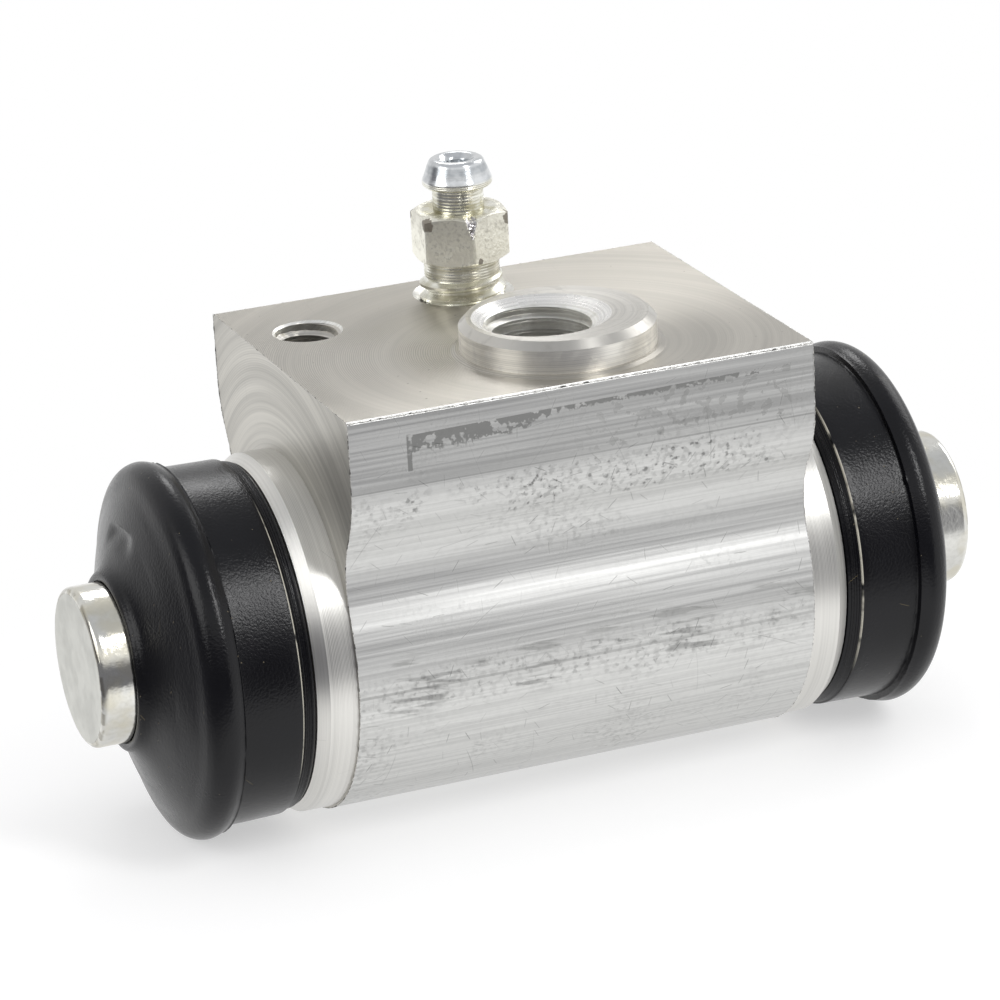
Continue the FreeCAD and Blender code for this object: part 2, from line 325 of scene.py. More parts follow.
class Effect:
    """A shared shader effect: one node group, built once and placed with each material's values."""

    name = "effect"
    inputs: dict[str, float] = {}
    outputs: dict[str, str] = {"Mask": "NodeSocketFloat"}

    def wire(self, nodes: Nodes, given: dict[str, Signal]) -> dict[str, Signal]:
        """Adds the effect's nodes to the group's tree and gives its outputs by name."""
        raise NotImplementedError

    def tree(self) -> bpy.types.NodeTree:
        """Finds the effect's node group, or makes it on first use.

        Returns:
            The node group.
        """
        made = bpy.data.node_groups.get(self.name)
        if made is not None:
            return made
        made = bpy.data.node_groups.new(self.name, "ShaderNodeTree")
        for name, value in self.inputs.items():
            socket = made.interface.new_socket(name, in_out="INPUT", socket_type="NodeSocketFloat")
            socket.default_value = value
        for name, kind in self.outputs.items():
            made.interface.new_socket(name, in_out="OUTPUT", socket_type=kind)
        nodes = Nodes(made)
        entry = nodes.add("NodeGroupInput")
        leave = nodes.add("NodeGroupOutput")
        given = {name: nodes.output(entry, name) for name in self.inputs}
        for name, signal in self.wire(nodes, given).items():
            nodes.feed(leave.inputs[name], signal)
        return made


class BoreFrame(Effect):
    """Where a point lies about the bore axis, in millimetres."""

    name = "about the bore"
    outputs = {
        "Along": "NodeSocketFloat",
        "Radius": "NodeSocketFloat",
        "Arc": "NodeSocketFloat",
        "Girth": "NodeSocketFloat",
    }

    def wire(self, nodes: Nodes, given: dict[str, Signal]) -> dict[str, Signal]:
        """Adds the effect's nodes.

        Args:
            nodes: The group's own tree.
            given: The group's inputs by name; not used, as this effect has none.

        Returns:
            What each output gives.
        """
        x, y, z = nodes.split(nodes.place_mm())
        along, side, up = x - MIDDLE_X, y - BORE_Y, z - BORE_Z
        radius = (side * side + up * up).apply("SQRT")
        angle = nodes.math("ARCTAN2", side, up)
        under = (angle.apply("ABSOLUTE") - TURN / 4).apply("MAXIMUM", 0.0) * radius
        girth = up.apply("MAXIMUM", 0.0) - under + side.apply("SIGN") * 60.0
        return {"Along": along, "Radius": radius, "Arc": angle * radius, "Girth": girth}


class UprightFrame(Effect):
    """Where a point lies about an upright axis at X, Y, in millimetres."""

    name = "about an upright axis"
    inputs = {"X": 0.0, "Y": 0.0}
    outputs = {
        "Height": "NodeSocketFloat",
        "Radius": "NodeSocketFloat",
        "Angle": "NodeSocketFloat",
        "Arc": "NodeSocketFloat",
    }

    def wire(self, nodes: Nodes, given: dict[str, Signal]) -> dict[str, Signal]:
        """Adds the effect's nodes.

        Args:
            nodes: The group's own tree.
            given: The group's inputs by name.

        Returns:
            What each output gives.
        """
        x, y, z = nodes.split(nodes.place_mm())
        side, deep = x - given["X"], y - given["Y"]
        radius = (side * side + deep * deep).apply("SQRT")
        angle = nodes.math("ARCTAN2", side, 0.0 - deep)
        return {"Height": z, "Radius": radius, "Angle": angle, "Arc": angle * radius}


class Grooves(Effect):
    """Fine tool marks: a near-regular wave across them and irregular streaks along them."""

    name = "tool marks"
    inputs = {"Across": 0.0, "Along": 0.0, "Pitch": 0.2}
    outputs = {"Wave": "NodeSocketFloat", "Streak": "NodeSocketFloat"}

    def wire(self, nodes: Nodes, given: dict[str, Signal]) -> dict[str, Signal]:
        """Adds the effect's nodes.

        Args:
            nodes: The group's own tree.
            given: The group's inputs by name.

        Returns:
            What each output gives.
        """
        step = given["Across"] / given["Pitch"]
        drift = nodes.flat_noise(step * 0.07, given["Along"] * 0.02, detail=0.0)
        wave = ((step + drift * 1.4) * TURN).apply("SINE")
        patch = nodes.flat_noise(step * 0.03 + 30.0, given["Along"] * 0.06, detail=1.0)
        streak = nodes.flat_noise(step * 0.55 + 70.0, given["Along"] * 0.035, detail=2.5)
        return {"Wave": wave * patch.smooth(0.3, 0.7), "Streak": streak}


class Scratches(Effect):
    """Short scratches in all directions, one to a cell of a grid over the surface."""

    name = "scratches"
    inputs = {
        "Along": 0.0, "Across": 0.0, "Cell": 5.0, "Length": 3.0, "Width": 0.05, "Share": 0.5, "Seed": 0.0,
    }

    def wire(self, nodes: Nodes, given: dict[str, Signal]) -> dict[str, Signal]:
        """Adds the effect's nodes.

        Args:
            nodes: The group's own tree.
            given: The group's inputs by name.

        Returns:
            What each output gives.
        """
        u, v = given["Along"] / given["Cell"], given["Across"] / given["Cell"]
        cell = nodes.combine(u.apply("FLOOR"), v.apply("FLOOR"), given["Seed"])
        dice = nodes.add("ShaderNodeTexWhiteNoise", {"Vector": cell}, noise_dimensions="3D")
        spin, right, up = nodes.split(nodes.output(dice, "Color"))
        du = u.apply("FRACT") - 0.5 - (right - 0.5) * 0.4
        dv = v.apply("FRACT") - 0.5 - (up - 0.5) * 0.4
        angle = spin * TURN
        sine, cosine = angle.apply("SINE"), angle.apply("COSINE")
        run = (du * cosine + dv * sine) * given["Cell"]
        off = (dv * cosine - du * sine) * given["Cell"]
        off = off + run * run * (right - 0.5) * 0.05
        ends = 1.0 - (run.apply("ABSOLUTE") / given["Length"] * 2.0).smooth(0.6, 1.0)
        body = 1.0 - (off.apply("ABSOLUTE") / given["Width"]).smooth(0.4, 1.0)
        here = (up * 7.31 + spin * 3.77).apply("FRACT").apply("LESS_THAN", given["Share"])
        strength = (right * 5.7 + spin * 2.9).apply("FRACT") * 0.7 + 0.3
        return {"Mask": ends * body * here * strength}


class Pits(Effect):
    """Small round marks of random size, in a share of the cells of an irregular grid."""

    name = "pits"
    inputs = {"Along": 0.0, "Across": 0.0, "Spacing": 1.5, "Size": 0.2, "Share": 0.5, "Seed": 0.0}

    def wire(self, nodes: Nodes, given: dict[str, Signal]) -> dict[str, Signal]:
        """Adds the effect's nodes.

        Args:
            nodes: The group's own tree.
            given: The group's inputs by name.

        Returns:
            What each output gives.
        """
        u, v = given["Along"] / given["Spacing"], given["Across"] / given["Spacing"]
        place = nodes.combine(u + given["Seed"] * 13.0, v)
        cells = nodes.add("ShaderNodeTexVoronoi", {"Vector": place, "Scale": 1.0}, voronoi_dimensions="2D")
        chance, size, _ = nodes.split(nodes.output(cells, "Color"))
        reach = nodes.output(cells, "Distance") * given["Spacing"] / (given["Size"] * (size * 0.8 + 0.3))
        return {"Mask": (1.0 - reach.smooth(0.5, 1.0)) * chance.apply("LESS_THAN", given["Share"])}


class Clouds(Effect):
    """Soft patches over a surface, a given size across."""

    name = "patches"
    inputs = {"Size": 5.0, "Low": 0.4, "High": 0.65, "Seed": 0.0}

    def wire(self, nodes: Nodes, given: dict[str, Signal]) -> dict[str, Signal]:
        """Adds the effect's nodes.

        Args:
            nodes: The group's own tree.
            given: The group's inputs by name.

        Returns:
            What each output gives.
        """
        x, y, z = nodes.split(nodes.place_mm())
        place = nodes.combine(x + given["Seed"] * 31.0, y, z)
        level = nodes.noise(place, 1.0 / given["Size"], 2.0)
        return {"Mask": ((level - given["Low"]) / (given["High"] - given["Low"])).smooth(0.0, 1.0)}


@dataclass(frozen=True)
class Finish:
    """A finish of one kind of surface, which makes its material on first use."""

    name: str
    colour: Colour
    roughness: float = 0.35
    metallic: float = 1.0
    anisotropic: float = 0.0
    specular: float = 0.5

    def material(self) -> bpy.types.Material:
        """Finds the finish's material, or makes it on first use.

        Returns:
            The material.
        """
        made = bpy.data.materials.get(self.name)
        if made is not None:
            return made
        made = bpy.data.materials.new(self.name)
        made.use_nodes = True
        made.node_tree.nodes.clear()
        nodes = Nodes(made.node_tree)
        given = {
            "Metallic": self.metallic, "Roughness": self.roughness, "Anisotropic": self.anisotropic,
            "Specular IOR Level": self.specular,
        }
        shader = nodes.add("ShaderNodeBsdfPrincipled", given)
        output = nodes.add("ShaderNodeOutputMaterial")
        nodes.tree.links.new(shader.outputs[0], output.inputs["Surface"])
        self.dress(nodes, shader)
        return made

    def dress(self, nodes: Nodes, shader: bpy.types.Node) -> None:
        """Adds what changes over the surface to the material's Principled shader."""
        raise NotImplementedError


def shade(colour: Colour, share: float) -> Colour:
    """A colour made darker or lighter by a share."""
    red, green, blue = (min(1.0, part * share) for part in colour)
    return (red, green, blue)


@dataclass(frozen=True)
class DrawnAluminium(Finish):
    """The extruded sides: die lines along the bar, scratches, smudges and an old residue stain."""

    stain_left: float = -18.5
    stain_right: float = 14.5
    stain_top: float = -2.0
    stain_bottom: float = -5.2
    pitted_top: float = -7.4
    pitted_bottom: float = -10.8
    seam_heights: Point = (-6.6, -25.8)
    line_pitch: float = 0.16
    soiled: float = 0.3
    scored: float = 0.28

    def dress(self, nodes: Nodes, shader: bpy.types.Node) -> None:
        """Adds what changes over the surface.

        Args:
            nodes: The material's tree.
            shader: Its Principled shader.
        """
        bore = nodes.effect(BoreFrame())
        along, girth = bore["Along"], bore["Girth"]
        x, y, z = nodes.split(nodes.place_mm())
        lines = nodes.effect(Grooves(), Across=girth, Along=along, Pitch=self.line_pitch)
        broad = nodes.flat_noise(along * 0.012, girth * 0.4 + 20.0, detail=1.5)
        tone = lines["Streak"] * 0.75 + broad * 0.25
        colour = nodes.mix(tone.smooth(0.3, 0.7), shade(self.colour, 0.88), shade(self.colour, 1.09))
        side = nodes.flat_noise(along / 6.0, girth / 6.0 + 60.0, detail=2.0).smooth(0.4, 0.58)
        dirt = self.smudges(nodes, z, along, girth, side) + self.stain(nodes, x, y, z)
        marks = nodes.effect(
            Scratches(), Along=along, Across=girth, Cell=1.8, Length=1.4, Width=0.05, Share=0.7
        )
        long = nodes.effect(
            Scratches(), Along=along, Across=girth, Cell=7.5, Length=6.0, Width=0.05, Share=0.6, Seed=6.0
        )
        cuts = marks["Mask"] * (side * 0.6 + 0.4) + long["Mask"] * 0.6
        seam = self.seams(nodes, z)
        colour = nodes.mix((dirt * 0.85).apply("MINIMUM", 0.85), colour, shade(self.colour, self.soiled))
        scores = (cuts * 0.6 + seam * 0.35).apply("MINIMUM", 0.8)
        colour = nodes.mix(scores, colour, shade(self.colour, self.scored))
        nodes.feed(shader.inputs["Base Color"], colour)
        rough = self.roughness + dirt * 0.2 + cuts * 0.15 + (lines["Streak"] - 0.5) * 0.16 - 0.05
        nodes.feed(shader.inputs["Roughness"], rough.apply("MAXIMUM", 0.15))
        aside, up = nodes.outward(y - BORE_Y, z - BORE_Z)
        nodes.feed(shader.inputs["Tangent"], nodes.combine(0.0, up, 0.0 - aside))

    def smudges(self, nodes: Nodes, z: Signal, along: Signal, girth: Signal, side: Signal) -> Signal:
        """Grey smears and crumbs over the sides, dense in the pitted band and along the lower seam.

        Args:
            nodes: The material's tree.
            z: Height.
            along: Place along the bar.
            girth: Place round the bar.
            side: Where the bar was handled most.

        Returns:
            How dirty the surface is.
        """
        wide = nodes.flat_noise(along / 9.0, girth / 9.0 + 90.0, detail=2.0).smooth(0.46, 0.72)
        small = nodes.flat_noise(along / 0.6, girth / 0.6 + 10.0, detail=3.0).smooth(0.44, 0.64)
        crumbs = nodes.effect(
            Pits(), Along=along, Across=girth, Spacing=0.6, Size=0.36, Share=0.6, Seed=2.0
        )["Mask"] * small
        band = z.within(self.pitted_bottom, self.pitted_top, 0.7)
        lower = z.within(self.seam_heights[1] - 1.2, self.seam_heights[1] + 0.6, 1.6)
        slant = girth + along * 0.06
        smear = nodes.flat_noise(along * 0.16, slant * 1.5 + 40.0, detail=3.0).smooth(0.5, 0.66)
        smeared = z.within(self.seam_heights[1] - 1.0, self.seam_heights[1] + 2.6, 2.2)
        film = small * (wide * 0.16 + band * side * 0.22 + lower * 0.12 + 0.04)
        dirt = film + smear * side * (smeared * 0.6 + 0.06)
        return dirt + crumbs * (band * side * 0.55 + lower * 0.25 + wide * 0.2)

    def stain(self, nodes: Nodes, x: Signal, y: Signal, z: Signal) -> Signal:
        """Dark rim of an old residue on the front side, with a faint film inside it.

        Args:
            nodes: The material's tree.
            x: Place along the bar.
            y: Place from front to back.
            z: Height.

        Returns:
            How dirty the surface is.
        """
        front = y.apply("LESS_THAN", FRONT_Y + 0.1)
        ragged = nodes.flat_noise(x, z, 0.9, 3.0)
        below = self.stain_top + (x - self.stain_left) * 0.014 - z
        wide = (x * -1.0).smooth(4.0, 9.0) * 1.1 + 0.5
        top = below.smooth(0.0, 0.08) * (1.0 - (below / wide + (ragged - 0.5) * 3.0).smooth(0.7, 1.1))
        reach = x.within(self.stain_left, self.stain_right, 0.05)
        left = x.within(self.stain_left, self.stain_left + 0.35, 0.08)
        left = left * z.within(self.stain_bottom, self.stain_top, 0.1)
        torn = ragged.smooth(0.36, 0.44)
        film = below.smooth(0.0, 0.1) * z.smooth(self.seam_heights[0], self.seam_heights[0] + 0.4)
        film = film * x.within(self.stain_left, self.stain_right + 3.0, 0.2)
        blots = ragged.smooth(0.56, 0.61)
        rim = (top * reach * torn).apply("MAXIMUM", left * ragged.smooth(0.3, 0.45))
        return (rim * 0.95 + film * (blots * x.smooth(-6.0, 2.0) * 0.4 + 0.14)) * front

    def seams(self, nodes: Nodes, z: Signal) -> Signal:
        """Thin lines where the die's parts met."""
        high, low = self.seam_heights
        return z.within(high - 0.05, high + 0.05, 0.06) + z.within(low - 0.07, low + 0.07, 0.12)


@dataclass(frozen=True)
class MilledAluminium(Finish):
    """The face-milled top, its arcs running round the boss, clearest at its left front."""

    arc_pitch: float = 0.19
    clear_arcs: Point = (-2.2, -0.7)

    def dress(self, nodes: Nodes, shader: bpy.types.Node) -> None:
        """Adds what changes over the surface.

        Args:
            nodes: The material's tree.
            shader: Its Principled shader.
        """
        boss = nodes.effect(UprightFrame())
        radius, arc = boss["Radius"], boss["Arc"]
        x, y, _ = nodes.split(nodes.place_mm())
        arcs = nodes.effect(Grooves(), Across=radius, Along=arc, Pitch=self.arc_pitch)
        left = boss["Angle"].within(*self.clear_arcs, 0.7)
        broad = nodes.flat_noise(radius * 0.35 + 50.0, arc * 0.02, detail=2.0)
        tone = arcs["Streak"] * 0.5 + broad * 0.5 + arcs["Wave"] * (left * 0.55 + 0.08)
        colour = nodes.mix(tone.smooth(0.2, 0.8), shade(self.colour, 0.86), shade(self.colour, 1.13))
        nicks = nodes.effect(Pits(), Along=x, Across=y, Spacing=2.6, Size=0.13, Share=0.22)["Mask"]
        marks = nodes.effect(
            Scratches(), Along=x, Across=y, Cell=6.0, Length=3.5, Width=0.03, Share=0.2
        )["Mask"]
        colour = nodes.mix(nicks * 0.5 + marks * 0.25, colour, shade(self.colour, 0.4))
        nodes.feed(shader.inputs["Base Color"], colour)
        nodes.feed(shader.inputs["Roughness"], self.roughness + arcs["Streak"] * 0.12 + nicks * 0.2)
        aside, deep = nodes.outward(x, y)
        nodes.feed(shader.inputs["Tangent"], nodes.combine(aside, deep, -1.0))
        nodes.bump(shader, arcs["Wave"] * (left * 0.7 + 0.12), 0.014)


@dataclass(frozen=True)
class BoreTurned(Finish):
    """Faces turned about the bore axis: the body's ends and its bright collars."""

    pitch: float = 0.22
    contrast: float = 0.12
    across_radius: bool = True

    def dress(self, nodes: Nodes, shader: bpy.types.Node) -> None:
        """Adds what changes over the surface.

        Args:
            nodes: The material's tree.
            shader: Its Principled shader.
        """
        bore = nodes.effect(BoreFrame())
        across = bore["Radius"] if self.across_radius else bore["Along"] + bore["Radius"]
        marks = nodes.effect(Grooves(), Across=across, Along=bore["Arc"], Pitch=self.pitch)
        broad = nodes.flat_noise(across * 0.5 + 40.0, bore["Arc"] * 0.02, detail=1.5)
        tone = marks["Streak"] * 0.55 + broad * 0.45 + marks["Wave"] * 0.07
        low, high = shade(self.colour, 1 - self.contrast), shade(self.colour, 1 + self.contrast)
        colour = nodes.mix(tone.smooth(0.2, 0.8), low, high)
        nicks = nodes.effect(
            Scratches(), Along=across, Across=bore["Arc"], Cell=4.0, Length=2.2, Width=0.03, Share=0.22
        )["Mask"]
        colour = nodes.mix(nicks * 0.4, colour, shade(self.colour, 0.4))
        nodes.feed(shader.inputs["Base Color"], colour)
        nodes.feed(shader.inputs["Roughness"], self.roughness + marks["Streak"] * 0.1)
        x, y, z = nodes.split(nodes.place_mm())
        aside, up = nodes.outward(y - BORE_Y, z - BORE_Z)
        outer = (x - MIDDLE_X).apply("SIGN")
        nodes.feed(shader.inputs["Tangent"], nodes.combine(outer, 0.0 - aside, 0.0 - up))
        nodes.bump(shader, marks["Streak"] * 0.7 + marks["Wave"] * 0.3, 0.012)


@dataclass(frozen=True)
class UprightTurned(Finish):
    """Faces turned about an upright axis: the boss, the countersinks and the tapped holes; in the holes,
    painted shade darkens them deeper down.
    """

    axis: Point = (0.0, 0.0)
    pitch: float = 0.16
    # grime sets the scuffing and also the painted shade that darkens a hole deeper down.
    grime: float = 0.0
    lean: float = -1.0

    def dress(self, nodes: Nodes, shader: bpy.types.Node) -> None:
        """Adds what changes over the surface.

        Args:
            nodes: The material's tree.
            shader: Its Principled shader.
        """
        turned = nodes.effect(UprightFrame(), X=self.axis[0], Y=self.axis[1])
        across = turned["Radius"] + turned["Height"]
        marks = nodes.effect(Grooves(), Across=across, Along=turned["Arc"], Pitch=self.pitch)
        tone = marks["Streak"] * 0.85 + marks["Wave"] * 0.12 + 0.08
        colour = nodes.mix(tone.smooth(0.2, 0.8), shade(self.colour, 0.84), shade(self.colour, 1.14))
        scuff = nodes.effect(Clouds(), Size=1.4, Low=0.5, High=0.72, Seed=4.0)["Mask"]
        colour = nodes.mix(scuff * (0.25 + self.grime), colour, shade(self.colour, 0.45))
        # Painted shade: darker deeper down the hole, in step with grime.
        deep = turned["Height"].smooth(-0.6, -4.0) * self.grime
        colour = nodes.mix(deep, colour, shade(self.colour, 0.2))
        nodes.feed(shader.inputs["Base Color"], colour)
        nodes.feed(shader.inputs["Roughness"], self.roughness + scuff * 0.15)
        x, y, _ = nodes.split(nodes.place_mm())
        aside, deep = nodes.outward(x - self.axis[0], y - self.axis[1])
        nodes.feed(shader.inputs["Tangent"], nodes.combine(aside, deep, self.lean))
        nodes.bump(shader, marks["Streak"], 0.012)


@dataclass(frozen=True)
class TornAluminium(Finish):
    """Burrs and torn edges: broken bright metal with dark dirt in it."""

    dirt: float = 0.5

    def dress(self, nodes: Nodes, shader: bpy.types.Node) -> None:
        """Adds what changes over the surface.

        Args:
            nodes: The material's tree.
            shader: Its Principled shader.
        """
        where = nodes.place_mm()
        grain = nodes.noise(where, 5.0, 4.0)
        dark = nodes.noise(where, 1.4, 4.0).smooth(0.6 - self.dirt * 0.25, 0.66 - self.dirt * 0.2)
        colour = nodes.mix(grain.smooth(0.3, 0.7), shade(self.colour, 0.6), shade(self.colour, 1.2))
        colour = nodes.mix(dark * 0.85, colour, shade(self.colour, 0.12))
        nodes.feed(shader.inputs["Base Color"], colour)
        nodes.feed(shader.inputs["Roughness"], self.roughness + dark * 0.3)
        nodes.bump(shader, grain, 0.06)


@dataclass(frozen=True)
class PinZinc(Finish):
    """Bright zinc plate on the pins: mirror-like sides and a satin end face."""

    face_colour: Colour = (0.66, 0.66, 0.62)
    warm: Colour = (0.69, 0.655, 0.54)
    grime: Colour = (0.2, 0.18, 0.13)
    end: float = 42.2
    edge_radii: Point = (6.75, 7.05)

    def dress(self, nodes: Nodes, shader: bpy.types.Node) -> None:
        """Adds what changes over the surface.

        Args:
            nodes: The material's tree.
            shader: Its Principled shader.
        """
        bore = nodes.effect(BoreFrame())
        reach = bore["Along"].apply("ABSOLUTE")
        face = reach.smooth(self.end - 0.03, self.end - 0.005)
        grain = nodes.effect(Clouds(), Size=0.5, Low=0.35, High=0.7)["Mask"]
        patch = nodes.effect(Clouds(), Size=3.0, Low=0.4, High=0.62, Seed=5.0)["Mask"]
        swirl = nodes.effect(Grooves(), Across=bore["Radius"], Along=bore["Arc"], Pitch=0.5)["Streak"]
        side = nodes.mix(grain * 0.4 + patch * 0.35, shade(self.colour, 1.08), shade(self.colour, 0.78))
        side = nodes.mix(patch * 0.5 + 0.3, side, self.warm)
        light, dark = shade(self.face_colour, 1.08), shade(self.face_colour, 0.86)
        flat = nodes.mix(swirl * 0.5 + patch * 0.35, light, dark)
        colour = nodes.mix(face, side, flat)
        ring = bore["Radius"].within(*self.edge_radii, 0.14) * reach.smooth(self.end - 0.8, self.end - 0.4)
        worn = ring * nodes.effect(Clouds(), Size=1.2, Low=0.4, High=0.55, Seed=6.0)["Mask"]
        colour = nodes.mix(worn * 0.55, colour, self.grime)
        nodes.feed(shader.inputs["Base Color"], colour)
        rough = self.roughness + face * 0.3 + grain * 0.06 + patch * 0.04
        nodes.feed(shader.inputs["Roughness"], rough)
        nodes.bump(shader, grain * (1.0 - face) * 0.7 + swirl * face * 0.6, 0.006)


@dataclass(frozen=True)
class ScrewZinc(Finish):
    """Zinc plate on the bleed screw: yellowed in its corners and mottled, with worn dark corners and
    painted shade on the hexagon's flats, darker towards the top.
    """

    tarnish: Colour = (0.3, 0.27, 0.13)
    flat_colour: Colour = (0.84, 0.82, 0.73)
    nipple_light: Colour = (0.72, 0.74, 0.77)
    nipple_dark: Colour = (0.34, 0.37, 0.41)
    bare: Colour = (0.13, 0.1, 0.075)
    crown_height: float = 10.9
    hex_bottom: float = 3.4
    hex_top: float = 8.0
    corner_radius: float = 4.45
    slips: tuple[tuple[float, float, float], ...] = (
        (206.0, 7.4, 0.8), (326.0, 7.1, 0.72), (274.0, 3.9, 0.4), (146.0, 7.3, 0.5),
    )

    def dress(self, nodes: Nodes, shader: bpy.types.Node) -> None:
        """Adds what changes over the surface.

        Args:
            nodes: The material's tree.
            shader: Its Principled shader.
        """
        turned = nodes.effect(UprightFrame(), X=FLUID_X, Y=BLEED_Y)
        height, radius = turned["Height"], turned["Radius"]
        patch = nodes.effect(Clouds(), Size=1.3, Low=0.38, High=0.64)["Mask"]
        grain = nodes.effect(Clouds(), Size=0.28, Low=0.35, High=0.7, Seed=3.0)["Mask"]
        rings = nodes.effect(Grooves(), Across=height, Along=turned["Arc"], Pitch=0.26)["Streak"]
        hexed = height.within(self.hex_bottom, self.hex_top, 0.02) * radius.smooth(3.2, 3.6)
        ringed = patch * 0.4 + rings.smooth(0.35, 0.65) * 0.6
        base = nodes.mix(ringed, shade(self.colour, 1.4), shade(self.colour, 0.88))
        # Painted shade: the hexagon's flats are darker towards the top and lighter towards the bottom.
        fall = (height + (grain - 0.5) * 1.6 + (patch - 0.5) * 1.2).smooth(8.2, 3.8)
        shaded_flats = nodes.mix(fall, shade(self.flat_colour, 0.94), shade(self.flat_colour, 1.2))
        shaded_flats = nodes.mix(grain.smooth(0.55, 0.9) * patch * 0.35, shaded_flats, shade(self.flat_colour, 0.45))
        base = nodes.mix(hexed, base, shaded_flats)
        crown = height.smooth(self.crown_height - 0.3, self.crown_height + 0.1)
        band = height.within(self.crown_height + 0.9, self.crown_height + 1.3, 0.25)
        bright = nodes.mix(patch * 0.4 + grain * 0.1 + band * 0.5, self.nipple_light, self.nipple_dark)
        base = nodes.mix(crown * 0.85, base, bright)
        low = height.within(self.hex_top - 0.1, self.hex_top + 1.0, 0.5)
        under = height.within(self.crown_height - 1.3, self.crown_height - 0.7, 0.3)
        neck = height.within(-0.5, self.hex_bottom, 0.4) * 0.5
        yellow = (low + under * 0.8 + neck) * (1.0 - hexed) * (patch * 0.6 + 0.4)
        base = nodes.mix((yellow * 0.6).apply("MINIMUM", 0.7), base, self.tarnish)
        worn = self.worn_corners(nodes) * hexed
        colour = nodes.mix(worn * 0.85, base, self.bare)
        nodes.feed(shader.inputs["Base Color"], colour)
        rough = self.roughness + patch * 0.12 + hexed * 0.14 + worn * 0.2 - crown * 0.1
        nodes.feed(shader.inputs["Roughness"], rough)
        nodes.bump(shader, rings * (1.0 - hexed) * 0.8 + grain * (hexed * 0.8 + 0.12), 0.012)

    def worn_corners(self, nodes: Nodes) -> Signal:
        """Dark bare spots at the hexagon's corners, where a spanner slipped.

        Args:
            nodes: The material's tree.

        Returns:
            Where the plate is worn off.
        """
        where = nodes.place_mm()
        ragged = nodes.noise(where, 2.2, 3.0)
        total: Signal | float = 0.0
        for angle, height, size in self.slips:
            x = FLUID_X + self.corner_radius * math.cos(math.radians(angle))
            y = BLEED_Y + self.corner_radius * math.sin(math.radians(angle))
            away = nodes.add("ShaderNodeVectorMath", {0: where, 1: (x, y, height)}, operation="DISTANCE")
            near = nodes.output(away, "Value") / size + (ragged - 0.5) * 1.1
            total = (1.0 - near.smooth(0.75, 0.95)) + total
        return total.apply("MINIMUM", 0.88)


@dataclass(frozen=True)
class Rubber(Finish):
    """Moulded black rubber with a fine grain, dust specks, a few pale hairs and scuffs, and a painted
    highlight along a given rim.
    """

    dust: float = 1.0
    # rim is where along the bore a pale line is painted as a highlight, over an arc round the bore and in a
    # colour of its own.
    rim: float = 0.0
    painted_highlight_arc: Point = (-1.9, -0.65)
    speck_colour: Colour = (0.24, 0.2, 0.13)
    hair_colour: Colour = (0.3, 0.24, 0.12)
    nick_colour: Colour = (0.004, 0.004, 0.005)
    painted_highlight_colour: Colour = (0.62, 0.59, 0.5)

    def dress(self, nodes: Nodes, shader: bpy.types.Node) -> None:
        """Adds what changes over the surface.

        Args:
            nodes: The material's tree.
            shader: Its Principled shader.
        """
        bore = nodes.effect(BoreFrame())
        along, arc = bore["Along"] + bore["Radius"] * 0.7, bore["Arc"]
        bloom = nodes.effect(Clouds(), Size=6.0, Low=0.35, High=0.7)["Mask"]
        grain = nodes.effect(Clouds(), Size=0.22, Low=0.3, High=0.7, Seed=2.0)["Mask"]
        colour = nodes.mix(bloom * 0.7 + grain * 0.3, shade(self.colour, 0.8), shade(self.colour, 1.35))
        specks = nodes.effect(Pits(), Along=along, Across=arc, Spacing=2.1, Size=0.09, Share=0.2)["Mask"]
        hairs = nodes.effect(
            Scratches(), Along=along, Across=arc, Cell=4.4, Length=1.3, Width=0.03, Share=0.17, Seed=5.0
        )["Mask"]
        nicks = nodes.effect(
            Pits(), Along=along, Across=arc, Spacing=3.7, Size=0.16, Share=0.18, Seed=8.0
        )["Mask"]
        colour = nodes.mix(specks * 0.5 * self.dust, colour, self.speck_colour)
        colour = nodes.mix(hairs * 0.5 * self.dust, colour, self.hair_colour)
        colour = nodes.mix(nicks * 0.7, colour, self.nick_colour)
        # Painted highlight: a pale, broken line along the rim, over one arc of its front.
        edge = bore["Along"].apply("ABSOLUTE").within(self.rim - 0.05, self.rim + 0.05, 0.04)
        turned = bore["Arc"] / bore["Radius"]
        broken = nodes.effect(Clouds(), Size=2.2, Low=0.33, High=0.47)["Mask"]
        edge = edge * turned.within(*self.painted_highlight_arc, 0.3) * broken
        colour = nodes.mix(edge * 0.9, colour, self.painted_highlight_colour)
        nodes.feed(shader.inputs["Base Color"], colour)
        nodes.feed(shader.inputs["Roughness"], self.roughness + bloom * 0.06 + grain * 0.03 + specks * 0.3)
        nodes.bump(shader, grain, 0.01)


@dataclass(frozen=True)
class SpringSteel(Finish):
    """Pressed and drawn steel inside the bore: faint drawing marks under a thin grey film."""

    def dress(self, nodes: Nodes, shader: bpy.types.Node) -> None:
        """Adds what changes over the surface.

        Args:
            nodes: The material's tree.
            shader: Its Principled shader.
        """
        bore = nodes.effect(BoreFrame())
        marks = nodes.effect(Grooves(), Across=bore["Radius"], Along=bore["Along"], Pitch=0.15)["Streak"]
        film = nodes.effect(Clouds(), Size=2.5, Low=0.4, High=0.65, Seed=7.0)["Mask"]
        colour = nodes.mix(marks * 0.6 + film * 0.4, shade(self.colour, 1.15), shade(self.colour, 0.7))
        nodes.feed(shader.inputs["Base Color"], colour)
        nodes.feed(shader.inputs["Roughness"], self.roughness + film * 0.15)
        nodes.bump(shader, marks, 0.01)


